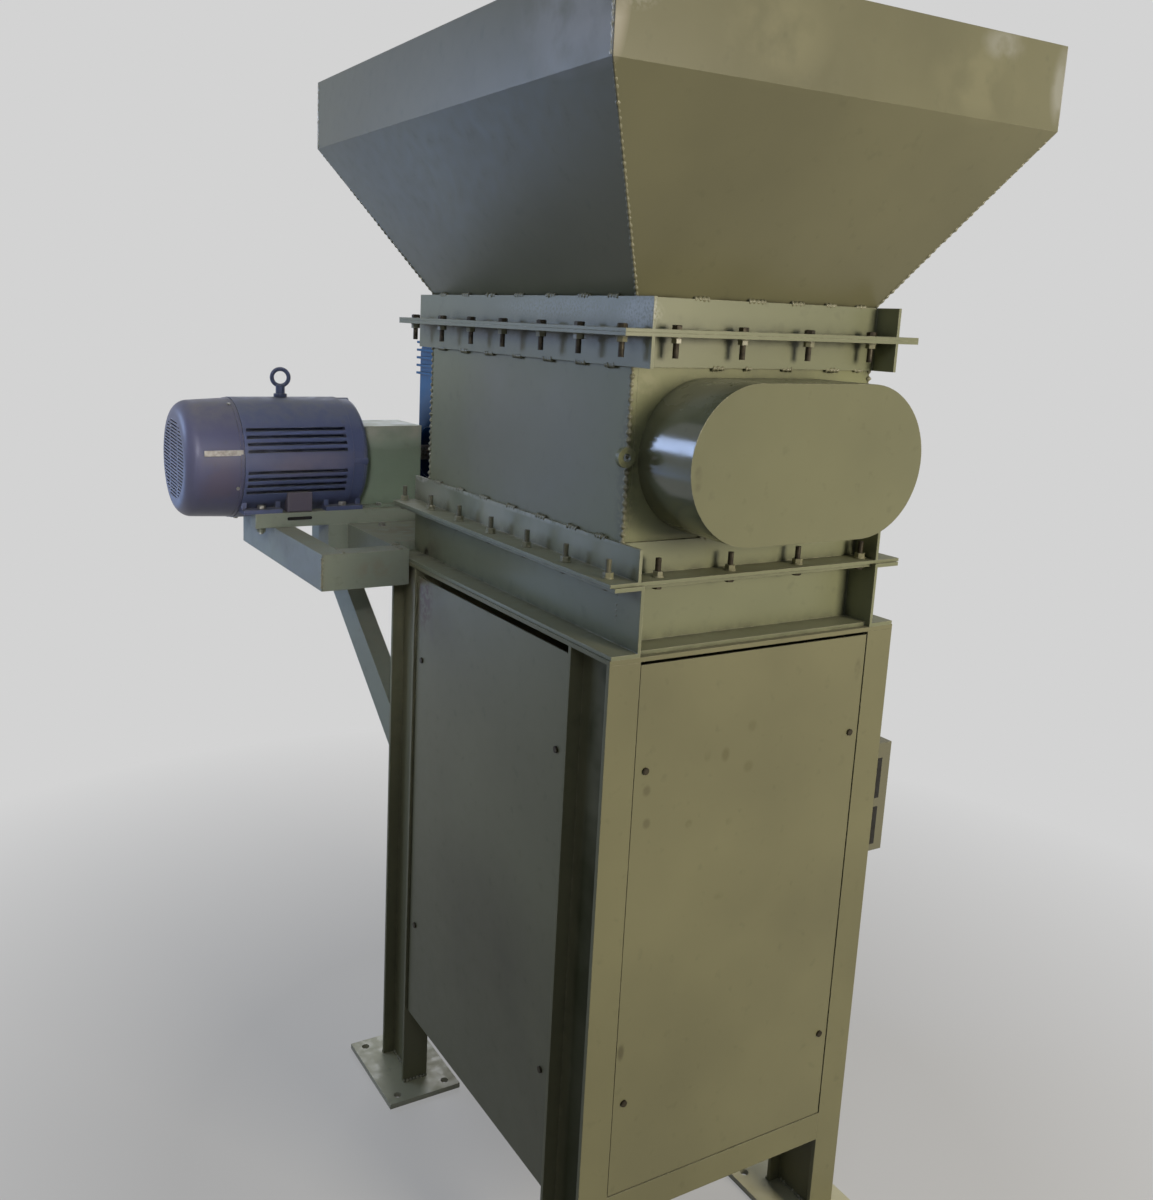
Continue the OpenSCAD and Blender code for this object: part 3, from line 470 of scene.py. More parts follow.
fasten("upper_ring_bolts",
       [(x, y, joint_z + angle_t) for x, y in all_round(upper_front, upper_side)],
       (0, 0, 1), "paint_frame")
fasten("lower_ring_bolts", [(x, y, stud_z) for x, y in all_round(lower_front, [])],
       (0, 0, -1), "paint_frame", grip=13 * mm, tail=22 * mm, seed=4)
fasten("lower_ring_side_bolts", [(x, y, stud_z) for x, y in all_round([], lower_side)],
       (0, 0, -1), "paint_frame", grip=13 * mm, tail=22 * mm, seed=4, head_material=stud_paint)

# Stitches as (middle, length): along the front and rear of the hopper's ring, along the front and
# rear of the two rings under it, and along the sides of all three.
half_x = (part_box("chamber_right")[1] / mm).x
half_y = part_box("chamber_rear")[1].y / mm
stitch_x = [(-137, 30), (-19, 36), (72, 28), (151, 26), (223, 22)]
under_x = [(-92, 26), (-26, 16), (60, 20), (166, 30), (231, 18)]
stitch_y = [(322, 34), (214, 30), (108, 36), (-6, 30), (-118, 32), (-226, 34), (-318, 28)]
seam_runs = []
for level, places in ((ring_top[1].z / mm, stitch_x), (ring_mid[0].z / mm, under_x),
                      (ring_low[1].z / mm, under_x)):
    for x, long in places:
        for y in (-half_y - angle_t / 2, half_y + angle_t / 2):
            seam_runs.append(((x - long / 2, y, level), (x + long / 2, y, level)))
    for y, long in stitch_y:
        for x in (-half_x - angle_t / 2, half_x + angle_t / 2):
            seam_runs.append(((x, y - long / 2, level), (x, y + long / 2, level)))
weld("ring_stitch_welds", seam_runs, "paint_frame", bead_radius=3.8 * mm)

# The pedestal's channels meet in an upright bead at each corner, clear of its flanges.
corner_x, corner_y, clear = 262, 372, 8
pedestal_low, pedestal_high = (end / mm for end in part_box("pedestal"))
weld("pedestal_welds",
     [((sx * corner_x, sy * corner_y, pedestal_low.z + clear),
       (sx * corner_x, sy * corner_y, pedestal_high.z - clear))
      for sx in (-1, 1) for sy in (-1, 1)], "paint_frame")


# ---- Cutting chamber ----
# Four thick steel plates, welded at the corners into a box that takes the cutter shafts.
# Enamelled like the rest, with rough corner beads that were only brushed before painting.

# Thick plate lies flat and calm under its coat, which is painted darker in ragged spots along the
# front left corner, beside the cover, and dusty grey over the left side.
chamber_marks = [
    # Darker ragged spots along the front left corner, beside the cover.
    ((-264, -372, 1560), (30, 30, 170), "4b4a38", 0.45, 10),
    ((-240, -375, 1720), (40, 20, 30), "a19f80", 0.35, 14),
    ((-266, 0, 1600), (9, 500, 300), "918e82", 0.55, 700),
]
chamber_paint = enamel("sage_enamel_on_thick_plate", "80825d", gloss=0.42, shine=0.4, wear_and_edge_highlight=0.6,
                       waves=0.25, stains=chamber_marks)
dress(chamber_paint, "chamber_front", "chamber_rear", "chamber_left", "chamber_right", "edge_lug")
corner_low, corner_high = ring_low[1].z / mm - 2, ring_mid[0].z / mm + 2
weld("chamber_corner_welds",
     [((sx * (half_x - 1), sy * (half_y - 1), corner_low),
       (sx * (half_x - 1), sy * (half_y - 1), corner_high)) for sx in (-1, 1) for sy in (-1, 1)],
     "paint_chamber", bead_radius=3.6 * mm, lump_height=0.5, lump_pitch=13 * mm)


# ---- Hopper ----
# A flared feed hopper of 4 mm sheet: upright collar, four sloping walls and an upright rim,
# folded at the rim and welded down the corners. Enamelled, and scraped bare inside by the feed.

# Smooth, broad walls give long even gradients; pale flecks sit at the rim's front left corner, and
# painted reflections make pale patches along the front rim and down the left rim near the front.
hopper_marks = [
    ((-430, -545, 2280), (60, 120, 60), "b9bab2", 0.5, 6),
    # Painted reflection: a pale patch down the left rim near the front corner.
    ((-462, -500, 2270), (30, 210, 130), "d0c8bc", 0.40, 90),
    ((-462, -500, 2270), (30, 210, 130), "d0c8bc", 0.40, 210),
    # Painted reflections: pale patches along the front rim.
    ((-180, -568, 2230), (110, 30, 80), "918e70", 0.40, 70),
    ((240, -568, 2215), (120, 30, 70), "918e70", 0.40, 70),
    ((441, -568, 2235), (30, 20, 70), "b9bab6", 0.45, 90),
    ((290, -568, 2280), (60, 20, 30), "b9bab6", 0.35, 60),
]
hopper_paint = enamel("sage_enamel_on_hopper_sheet", "757358", gloss=0.33, wear_and_edge_highlight=0.5, waves=0.08,
                      shine=0.33, stains=hopper_marks)
dress(hopper_paint, "hopper_front", "hopper_rear", "hopper_left", "hopper_right")

# Inside, the coat is scraped through along the slope: dull steel shows in long streaks.
tree = hopper_paint.node_tree
shader = next(n for n in tree.nodes if n.type == "BSDF_PRINCIPLED")
place = next(n for n in tree.nodes if n.type == "TEX_COORD").outputs["Object"]
facing = next(n for n in tree.nodes if n.type == "NEW_GEOMETRY").outputs["Normal"]
coat = shader.inputs["Base Color"].links[0].from_socket
across = add(tree, "ShaderNodeVectorMath", {0: place, 1: (1, 1, 0)}, operation="MULTIPLY")
inward = add(tree, "ShaderNodeVectorMath", {0: across, 1: facing}, operation="DOT_PRODUCT")
inside = add(tree, "ShaderNodeMapRange", {0: inward, 1: -0.02, 2: -0.12})
streaks = grain(tree, place, 60, 5, (1, 1, 0.22))
streaks = add(tree, "ShaderNodeMapRange", {0: streaks, 1: 0.46, 2: 0.6})
scraped = add(tree, "ShaderNodeMath", {0: inside, 1: streaks}, operation="MULTIPLY")
scraped = add(tree, "ShaderNodeMath", {0: scraped, 1: 0.8}, operation="MULTIPLY")
colour = add(tree, "ShaderNodeMix", {0: scraped, 6: coat, 7: linear("76746c")}, data_type="RGBA")
tree.links.new(colour.outputs["Result"], shader.inputs["Base Color"])

# At each corner one bead follows the slope from the collar to just under the fold, and one goes
# up the rim, set in from its faces except at the left, where it is almost flush.
fold_z, fold_in, rim_in, left_in = 2163, 3, 4.8, 1.2
rim_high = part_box("hopper_rear")[1] / mm
rim_x = {-1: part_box("hopper_left")[0].x / mm, 1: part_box("hopper_right")[1].x / mm}
bead_x = {-1: rim_x[-1] + left_in, 1: rim_x[1] - rim_in}
hopper_runs, rim_runs = [], []
for sx in (-1, 1):
    for sy in (-1, 1):
        foot = (sx * half_x, sy * half_y, ring_top[1].z / mm + 1)
        fold = (rim_x[sx] - sx * fold_in, sy * (rim_high.y - fold_in), fold_z)
        near = tuple(b + (f - b) * 0.02 for f, b in zip(foot, fold))
        hopper_runs.append((foot, near))
        corner = (bead_x[sx], sy * (rim_high.y - rim_in))
        rim_runs.append(((*corner, fold_z + 2), (*corner, rim_high.z - 6)))
weld("hopper_corner_welds", hopper_runs, "paint_hopper", bead_radius=2.6 * mm, lump_height=0.3,
     lump_pitch=12 * mm, wander=1.0 * mm)
# The beads up the rim were brushed and left bare: pale grey, with a broken soft gleam.
brushed = dull_steel("brushed_weld_metal", "b4b3aa", 0.42, metal=0.6, spots="8a8976")
weld("hopper_rim_welds", rim_runs, "paint_hopper", bead_radius=2.6 * mm, lump_height=0.3,
     lump_pitch=12 * mm, wander=1.0 * mm, material=brushed)


# ---- Cutters and rear bearings ----
# Two shafts with hooked discs that run in each other's gaps. Tool steel, ground bright by use
# on the tips, and carried at the back in grey cast-iron flange bearings with four bolts each.

# Hard steel mirrors darkly between brown spots, is scratched lengthwise and bright at the edges.
cutter_steel = bpy.data.materials.new("worn_tool_steel")
cutter_steel.use_nodes = True
tree = cutter_steel.node_tree
tree.nodes.clear()
place = add(tree, "ShaderNodeTexCoord").outputs["Object"]
eased = add(tree, "ShaderNodeBevel", {"Radius": 2.5 * mm}, samples=3)
facing = add(tree, "ShaderNodeNewGeometry").outputs["Normal"]
same = add(tree, "ShaderNodeVectorMath", {0: facing, 1: eased}, operation="DOT_PRODUCT")
tips = add(tree, "ShaderNodeMapRange", {0: same, 1: 0.99, 2: 0.8})
dirt = grain(tree, place, 22, 5)
spotted = add(tree, "ShaderNodeMapRange", {0: dirt, 1: 0.42, 2: 0.62})
colour = add(tree, "ShaderNodeMix", {0: spotted, 6: linear("6f6d69"), 7: linear("4a3a2c")},
             data_type="RGBA")
colour = add(tree, "ShaderNodeMix", {0: tips, 6: colour, 7: linear("b5b3ae")}, data_type="RGBA")
rough = add(tree, "ShaderNodeMapRange", {0: dirt, 1: 0.3, 2: 0.7, 3: 0.32, 4: 0.62})
scratch = grain(tree, place, 6, 2, (6, 0.6, 0.6))
scored = add(tree, "ShaderNodeBump",
             {"Height": scratch, "Distance": 0.15 * mm, "Normal": eased})
shader = add(tree, "ShaderNodeBsdfPrincipled", {
    "Base Color": colour, "Metallic": 1.0, "Roughness": rough, "Normal": scored})
add(tree, "ShaderNodeOutputMaterial", {"Surface": shader})
dress(cutter_steel, "cutter_left", "cutter_right")

# Paint over sand-cast iron stays matt and holds dust.
iron = enamel("grey_painted_cast_iron", "4d4f50", gloss=0.5, dust=0.5, grime_and_shade=0.7, wear_and_edge_highlight=0.4,
              waves=0.0)
dress(iron, "rear_bearings")
# Each shaft's bearing has four bolts, bolt_circle out from its middle.
shaft_left, shaft_right, shaft_z, bolt_circle = -106, 122, 1597, 62
bearing_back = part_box("rear_bearings")[1].y / mm
corners = [math.radians(a) for a in (45, 135, 225, 315)]
bearing_points = [(x + bolt_circle * math.cos(a), bearing_back, shaft_z + bolt_circle * math.sin(a))
                  for x in (shaft_left, shaft_right) for a in corners]
fasten("bearing_bolts", bearing_points, (0, 1, 0), "bearing_iron", across_head=18 * mm,
       head_height=7.5 * mm, shank=12 * mm, grip=10 * mm, washer=14 * mm, nut_height=2 * mm,
       tail=2 * mm, seed=7)


# ---- Gear cover ----
# A long rounded box over the gears that tie the two shafts together. Rolled and welded sheet
# in the same sage enamel, smoother and glossier than the plates, so its round end mirrors a window.

# A chip on the face's left edge, a painted shade low on the cover and pale dust along its top left.
cover_marks = [
    ((-227, -515, 1584), (10, 12, 24), "55513a", 0.65, 60),
    # Painted shade on the cover's underside.
    ((-120, -440, 1480), (90, 60, 40), "5c5a47", 0.35, 24),
    ((-160, -425, 1715), (110, 88, 60), "aeac90", 0.70, 300),
]
cover_paint = enamel("sage_enamel_on_rolled_cover", "7a7a5b", gloss=0.15, dust=0.25, wear_and_edge_highlight=0.9,
                     waves=0.4, stains=cover_marks)
dress(cover_paint, "gear_cover")


# ---- Motor platform, braces and drive bars ----
# A bracket of 80 mm channels, welded to the rear legs and propped by two slanting flats. It holds
# two bars that the motor and the gearbox are bolted to. All of it enamelled with the stand.

# Settled dust makes this coat greyer and flatter than the stand's, with brown drips by the drive,
# and a painted shade darkens the left channel's outer face.
platform_marks = [
    ((-250, 560, 1309), (70, 60, 20), "6b5b49", 0.45, 26),
    ((-400, 350, 1270), (60, 14, 30), "8d7a63", 0.30, 24),
    # Painted shade on the left channel's outer face.
    ((-524, 600, 1272), (8, 520, 120), "5c5a5c", 0.40, 260),
]
platform_paint = enamel("sage_enamel_on_platform", "8c927e", gloss=0.46, dust=0.5, wear_and_edge_highlight=0.7,
                        shine=0.35, stains=platform_marks)
dress(platform_paint, "platform_frame", "brace_left", "brace_right", "drive_bars")
deck_z, under_z = 1309, 1236
fasten("deck_bolt", [(-268, 629, deck_z)], (0, 0, 1), "paint_platform", across_head=16 * mm,
       grip=6 * mm, tail=6 * mm, head_material=zinc_steel)
# Upright beads stop short of the deck; the others lie on it, where bars and plates meet.
platform_runs = [
    ((-523, 350, under_z), (-523, 350, deck_z - 7)),
    ((-338, 400, deck_z), (-338, 352, deck_z)),
    ((-320, 440, under_z), (-320, 440, deck_z - 9)),
    ((-320, 400, deck_z), (-338, 400, deck_z)),
    ((-473, 400, deck_z), (-473, 352, deck_z)),
    ((-383, 765, deck_z), (-338, 765, deck_z)),
]
weld("platform_welds", platform_runs, "paint_platform", bead_radius=2.8 * mm)

# A long adjusting slot in the front bar, dark inside, with a rubbed lip round it.
slot_tree = new_tree("bar_slots", [
    ("Length", "Float", 60 * mm), ("Width", "Float", 9 * mm), ("Lip", "Float", 1.5 * mm),
    ("Floor material", "Material", None), ("Lip material", "Material", None)])
given = add(slot_tree, "NodeGroupInput").outputs


def pill(tree, long, wide, thick, material):
    """A flat bar with round ends, lying along X and facing -Y."""
    size = add(tree, "ShaderNodeCombineXYZ", {"X": long, "Y": thick, "Z": wide})
    parts = [add(tree, "GeometryNodeMeshCube", {"Size": size})]
    radius = add(tree, "ShaderNodeMath", {0: wide, 1: 0.5}, operation="MULTIPLY")
    end = add(tree, "GeometryNodeMeshCylinder",
              {"Vertices": 20, "Radius": radius, "Depth": thick})
    half = add(tree, "ShaderNodeMath", {0: long, 1: 0.5}, operation="MULTIPLY")
    for side in (-1.0, 1.0):
        shift = add(tree, "ShaderNodeMath", {0: half, 1: side}, operation="MULTIPLY")
        shift = add(tree, "ShaderNodeCombineXYZ", {"X": shift})
        parts.append(add(tree, "GeometryNodeTransform", {
            "Geometry": end, "Rotation": (math.pi / 2, 0, 0), "Translation": shift}))
    whole = add(tree, "GeometryNodeJoinGeometry", {0: parts})
    return add(tree, "GeometryNodeSetMaterial", {"Geometry": whole, "Material": material})


wider = add(slot_tree, "ShaderNodeMath", {0: given["Width"], 1: given["Lip"]}, operation="ADD")
lip = pill(slot_tree, given["Length"], wider, 0.8 * mm, given["Lip material"])
floor = pill(slot_tree, given["Length"], given["Width"], 1.4 * mm, given["Floor material"])
both = add(slot_tree, "GeometryNodeJoinGeometry", {0: [lip, floor]})
both = add(slot_tree, "GeometryNodeInstanceOnPoints",
           {"Points": given["Geometry"], "Instance": both})
both = add(slot_tree, "GeometryNodeRealizeInstances", {0: both})
add(slot_tree, "NodeGroupOutput", {"Geometry": both})

# What lies deep in a slot or an opening gets no light: nearly black, without a gleam.
shade = dull_steel("dark_recess", "14130f", 0.8, metal=0.0, spots="1d1a15")
bars_low, bars_high = (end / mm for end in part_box("drive_bars"))
bar_points = bpy.data.meshes.new("drive_bar_slots")
slot_x, slot_z = -461, 1329
bar_points.from_pydata([(slot_x * mm, bars_low.y * mm, slot_z * mm)], [], [])
grow("drive_bar_slots", bar_points, slot_tree, "paint_platform", length=54 * mm, width=8 * mm,
     floor_material=shade, lip_material=platform_paint)


# ---- Motor ----
# A foot-mounted, fan-cooled squirrel-cage motor. Cast-iron frame with long cooling ribs in
# blue-grey enamel, a pressed sheet fan cover with a slotted end, and a forged lifting eye.

# Cast iron keeps its coat half matt, with a pale brown-grey band painted along the near side's ribs
# as a painted highlight.
motor_paint = enamel("blue_grey_enamel_on_cast_iron", "525b7a", gloss=0.46, dust=0.3, grime_and_shade=0.7,
                     wear_and_edge_highlight=0.35, waves=0.0,
                     stains=[((-430, 660, 1463), (180, 60, 38), "8a8084", 0.55, 200)])
dress(motor_paint, "motor_frame", "motor_end_bell")
# A forging is smoother than a casting, so its coat looks darker and a little glossier.
eye_paint = enamel("blue_grey_enamel_on_forging", "424a64", gloss=0.42, grime_and_shade=0.5, wear_and_edge_highlight=0.5,
                   waves=0.0)
dress(eye_paint, "motor_eye_bolt")
# Pressed sheet is smooth and shows a soft highlight, with a brownish patch on its near side.
fan_paint = enamel("blue_grey_enamel_on_pressed_sheet", "585972", gloss=0.40, dust=0.3, grime_and_shade=0.4,
                   wear_and_edge_highlight=0.5, waves=0.2,
                   stains=[((-650, 690, 1430), (60, 60, 80), "6b5c60", 0.40, 50)])

# The pressing is a closed shell of revolution about the motor's axis, open to the frame. It
# tapers 5 mm to the end, which turns in through the dome's radius.
axis_y, axis_z = 805, 1463
fan_low, fan_high = (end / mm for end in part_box("motor_fan_cover"))
fan_out = (fan_high.y - fan_low.y) / 2
end_out = fan_out - 5
dome, wall, cover_sides = 36, 2, 96


def circle(made, x, r, sides):
    """Points round the motor's axis at x, or the one point on the axis where r is 0."""
    if r < 1e-6:
        return [made.verts.new((x * mm, axis_y * mm, axis_z * mm))]
    return [made.verts.new((x * mm, (axis_y + r * math.cos(2 * math.pi * k / sides)) * mm,
                            (axis_z + r * math.sin(2 * math.pi * k / sides)) * mm))
            for k in range(sides)]


def skin(made, a, b):
    """Faces between two circles of points, of which one may be a single point."""
    sides = max(len(a), len(b))
    for k in range(sides if sides > 1 else 0):
        n = (k + 1) % sides
        if len(a) == 1:
            made.faces.new((a[0], b[n], b[k]))
        elif len(b) == 1:
            made.faces.new((a[k], a[n], b[0]))
        else:
            made.faces.new((a[k], a[n], b[n], b[k]))


profile = [(fan_high.x, fan_out)]
profile += [(fan_low.x + dome - dome * math.sin(math.radians(a)),
             end_out - dome + dome * math.cos(math.radians(a))) for a in range(0, 91, 9)]
profile += [(fan_low.x, 60), (fan_low.x, 20), (fan_low.x, 0)]
inner = [(x + wall * (1 if r < end_out - dome + 1 else 0.6), max(r - wall, 0))
         for x, r in profile]
inner[0] = (fan_high.x, fan_out - wall)
inner[-1] = (fan_low.x + wall, 0)
shell = bmesh.new()
rings = [circle(shell, x, r, cover_sides) for x, r in profile + inner[::-1]]
for a, b in zip(rings, rings[1:] + rings[:1]):
    skin(shell, a, b)
bmesh.ops.recalc_face_normals(shell, faces=shell.faces)
cover_mesh = bpy.data.meshes.new("fan_cover_shell")
shell.to_mesh(cover_mesh)
shell.free()

# Rows of slanting slots are cut through the end of the pressing, within the grille's radius.
grille_tree = new_tree("fan_grille", [
    ("Slots", "Int", 23), ("Slot pitch", "Float", 8 * mm), ("Slot width", "Float", 3.4 * mm),
    ("Slot length", "Float", 62 * mm), ("Rows", "Int", 3), ("Row pitch", "Float", 70 * mm),
    ("Slant", "Float", 0.06), ("Grille radius", "Float", 96 * mm),
    ("Centre", "Vector", (0, 0, 0)), ("Material", "Material", None)])
given = add(grille_tree, "NodeGroupInput").outputs
size = add(grille_tree, "ShaderNodeCombineXYZ",
           {"X": 40 * mm, "Y": given["Slot length"], "Z": given["Slot width"]})
cutter = add(grille_tree, "GeometryNodeMeshCube", {"Size": size})
rise = add(grille_tree, "ShaderNodeCombineXYZ", {"Z": given["Slot pitch"]})
stack = add(grille_tree, "GeometryNodeMeshLine", {"Count": given["Slots"], "Offset": rise})
step = add(grille_tree, "ShaderNodeCombineXYZ", {"Y": given["Row pitch"]})
rows = add(grille_tree, "GeometryNodeMeshLine", {"Count": given["Rows"], "Offset": step})
stack = add(grille_tree, "GeometryNodeInstanceOnPoints", {"Points": stack, "Instance": cutter})
stack = add(grille_tree, "GeometryNodeInstanceOnPoints", {"Points": rows, "Instance": stack})
stack = add(grille_tree, "GeometryNodeRealizeInstances", {0: stack})
# Half of the three rows' and of the 23 slots' steps back brings the middle slot to the centre.
back_y = add(grille_tree, "ShaderNodeMath", {0: given["Row pitch"], 1: -1.0},
             operation="MULTIPLY")
back_z = add(grille_tree, "ShaderNodeMath", {0: given["Slot pitch"], 1: -11.0},
             operation="MULTIPLY")
back = add(grille_tree, "ShaderNodeCombineXYZ", {"Y": back_y, "Z": back_z})
slant = add(grille_tree, "ShaderNodeCombineXYZ", {"X": given["Slant"]})
stack = add(grille_tree, "GeometryNodeTransform", {"Geometry": stack, "Translation": back})
stack = add(grille_tree, "GeometryNodeTransform", {
    "Geometry": stack, "Translation": given["Centre"], "Rotation": slant})
disc = add(grille_tree, "GeometryNodeMeshCylinder",
           {"Vertices": 64, "Radius": given["Grille radius"], "Depth": 60 * mm})
disc = add(grille_tree, "GeometryNodeTransform", {
    "Geometry": disc, "Translation": given["Centre"], "Rotation": (0, math.pi / 2, 0)})
slots = add(grille_tree, "GeometryNodeMeshBoolean", {1: [stack, disc]}, operation="INTERSECT",
            solver="EXACT")
cut = add(grille_tree, "GeometryNodeMeshBoolean", {0: given["Geometry"], 1: slots},
          operation="DIFFERENCE", solver="EXACT")
cut = add(grille_tree, "GeometryNodeSetMaterial", {"Geometry": cut, "Material": given["Material"]})
cut = add(grille_tree, "GeometryNodeRealizeInstances", {0: cut})
add(grille_tree, "NodeGroupOutput", {"Geometry": cut})

cover = grow("fan_cover", cover_mesh, grille_tree, "paint_fan_cover",
             centre=(fan_low.x * mm, axis_y * mm, axis_z * mm), material=fan_paint)
cover.data.shade_smooth()
cover.data.set_sharp_from_angle(angle=math.radians(32))
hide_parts("motor_fan_cover")


def settle(title, made, material):
    """Makes a built mesh a piece that rides on the machine."""
    bmesh.ops.recalc_face_normals(made, faces=made.faces)
    mesh = bpy.data.meshes.new(title)
    made.to_mesh(mesh)
    made.free()
    mesh.materials.append(material)
    piece = bpy.data.objects.new(title, mesh)
    bpy.context.scene.collection.objects.link(piece)
    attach(piece, "root")
    return piece


def turned(title, x0, x1, r0, r1, material, sides=64, hole=0.0):
    """A round piece about the motor's axis from x0 to x1, in mm, with radius r0 to r1."""
    made = bmesh.new()
    loops = [circle(made, x, r, sides)
             for x, r in ((x0, r0), (x1, r1), (x1, hole), (x0, hole)) if r > 0]
    if hole > 0:
        loops.append(loops[0])
    else:
        made.faces.new(loops[0])
        made.faces.new(loops[-1])
    for a, b in zip(loops, loops[1:]):
        skin(made, a, b)
    piece = settle(title, made, material)
    piece.data.shade_smooth()
    piece.data.set_sharp_from_angle(angle=math.radians(32))


# The fan's disc shows dark behind the slots; a rolled lip runs round the cover's open end.
turned("fan_disc", fan_low.x + 26, fan_low.x + 40, 96, 108, shade)
turned("fan_cover_lip", fan_high.x - 9, fan_high.x - 1, fan_out + 0.6, fan_out + 0.6, fan_paint,
       sides=cover_sides, hole=fan_out - 3)

# Four small screws hold the cover to the frame, square to its round wall.
screw_x = fan_high.x - 14
for number, a in enumerate((113, 203, 293, 23)):
    y = fan_out * math.cos(math.radians(a))
    z = fan_out * math.sin(math.radians(a))
    fasten(f"fan_cover_screw_{number + 1}", [(screw_x, axis_y + y, axis_z + z)], (0, y, z),
           "paint_fan_cover", across_head=8 * mm, head_height=3 * mm, shank=5 * mm, grip=1 * mm,
           washer=7 * mm, nut_height=1 * mm, tail=1 * mm, head_material=zinc_steel, seed=number)

# Four bolts draw the end shield to the frame. Their heads sit on its flange, at shield_x, on a
# circle of shield_r round the shaft.
shield_x, shield_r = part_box("motor_end_bell")[0].x / mm + 35.5, 129
for number, a in enumerate((0, 90, 180, 270)):
    y = axis_y + shield_r * math.sin(math.radians(a))
    z = axis_z + shield_r * math.cos(math.radians(a))
    fasten(f"end_shield_bolt_{number + 1}", [(shield_x, y, z)], (1, 0, 0), "paint_motor",
           across_head=13 * mm, head_height=5.5 * mm, shank=8 * mm, grip=4 * mm, washer=12 * mm,
           nut_height=2 * mm, tail=2 * mm, head_material=motor_paint, nut_material=motor_paint,
           seed=number)

# Plated bolts go through the motor's feet, which are foot_t thick, and the bars.
foot_t = 10
fasten("motor_foot_bolts",
       [(x, axis_y + side, bars_high.z + foot_t) for x in (-549.5, -346.5) for side in (-110, 110)],
       (0, 0, 1), "paint_motor", across_head=18 * mm, head_height=7.5 * mm, shank=12 * mm,
       grip=44 * mm, washer=24 * mm, nut_height=10 * mm, tail=4 * mm, head_material=zinc_steel,
       nut_material=platform_paint)


def plate(title, low, high, material, edge=1.0):
    """A flat piece between two corners in mm, its edges eased."""
    made = bmesh.new()
    bmesh.ops.create_cube(made, size=1)
    size = [(b - a) * mm for a, b in zip(low, high)]
    centre = [(a + b) / 2 * mm for a, b in zip(low, high)]
    bmesh.ops.scale(made, vec=size, verts=made.verts)
    bmesh.ops.translate(made, vec=centre, verts=made.verts)
    bmesh.ops.bevel(made, geom=list(made.edges), offset=min(edge * mm, min(size) * 0.4),
                    segments=2, affect="EDGES", profile=0.6)
    settle(title, made, material)


# A cast pad on the frame's near side, its enamel browned by oil and handling.
pad_paint = enamel("brown_stained_enamel_on_cast_pad", "5f5860", gloss=0.5, grime_and_shade=0.5, wear_and_edge_highlight=0.4,
                   waves=0.0)
plate("motor_side_pad", (-491, 676, 1344), (-429, 700, 1392), pad_paint, edge=3)
# A blank strip of thin aluminium on the fan cover: soft pale grey, without a clear reflection.
strip_metal = dull_steel("blank_aluminium_strip", "a9a6a2", 0.42, metal=0.6, spots="938f8a")
plate("fan_cover_strip", (-690, axis_y - 141.5, 1484), (-600, axis_y - 138, 1497), strip_metal,
      edge=0.5)


# ---- Coupling guard and couplings ----
# A bent sheet guard over the fast coupling, bolted to the bars through its folded feet, and
# plain turned steel couplings. The guard has the stand's enamel, the couplings only oil.

# Thin bent sheet mirrors unevenly, and a painted reflection makes a pale bloom high on its front
# face. Its colour is painted lighter and greener than the stand's, as painted light on a face the
# lamps leave in shade.
guard_paint = enamel("sage_enamel_on_guard_sheet", "84927a", gloss=0.36, wear_and_edge_highlight=0.5, waves=0.8,
                     stains=[((-200, 730, 1530), (140, 12, 50), "c3c3ac", 0.75, 200)])
dress(guard_paint, "coupling_guard")
# A film of oil keeps turned steel bright, with brown where it has dried.
bare = dull_steel("oiled_turned_steel", "8c8881", 0.38, metal=1.0, spots="5d5044")
dress(bare, "input_coupling", "output_coupling")
# The guard's feet are guard_t thick; the bolts go through them and the bars.
guard_t = 3
fasten("guard_bolts", [(x, y, bars_high.z + guard_t) for x in (-245, -147) for y in (708, 902)],
       (0, 0, 1), "paint_guard", across_head=13 * mm, head_height=5.5 * mm, shank=8 * mm,
       grip=37 * mm, washer=16 * mm, nut_height=6 * mm, tail=4 * mm, head_material=zinc_steel)


# ---- Worm gearbox ----
# A cast-iron worm gearbox with flat ribs round its upper half. Blue enamel, with foot bolts,
# cover screws round the wheel shaft, and a filler plug on top.

# The blue is deep and clean on top; a painted shade turns the lower half almost black.
gear_paint = enamel("blue_enamel_on_cast_iron", "0c6a9e", gloss=0.42, shine=0.35, dust=0.2,
                    grime_and_shade=0.6, wear_and_edge_highlight=0.4, waves=0.0, stains=[
    ((-60, 780, 1380), (80, 220, 270), "0b1422", 0.90, blotch) for blotch in (500, 230)])
dress(gear_paint, "gearbox")
# Heavy bolts hold its feet to the bars. At each end of the wheel shaft, which turns the right
# cutter, six screws hold a cover, screw_circle out from the shaft.
gear_foot_t, screw_circle = 18, 76
fasten("gearbox_foot_bolts",
       [(x, y, bars_high.z + gear_foot_t) for x in (-40, 284) for y in (695, 915)],
       (0, 0, 1), "paint_gearbox", across_head=24 * mm, head_height=10 * mm, shank=16 * mm,
       grip=52 * mm, washer=30 * mm, nut_height=13 * mm, tail=8 * mm, head_material=zinc_steel,
       nut_material=zinc_steel)
for title, y, direction in (("gearbox_cover_screws_front", 715, (0, -1, 0)),
                            ("gearbox_cover_screws_rear", 895, (0, 1, 0))):
    points = [(shaft_right + screw_circle * math.cos(math.radians(a)), y,
               shaft_z + screw_circle * math.sin(math.radians(a))) for a in range(30, 360, 60)]
    fasten(title, points, direction, "paint_gearbox", across_head=13 * mm, head_height=5.5 * mm,
           shank=8 * mm, grip=4 * mm, washer=12 * mm, nut_height=1 * mm, tail=1 * mm,
           head_material=gear_paint, nut_material=gear_paint)
gearbox_top = (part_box("gearbox")[1] / mm).z
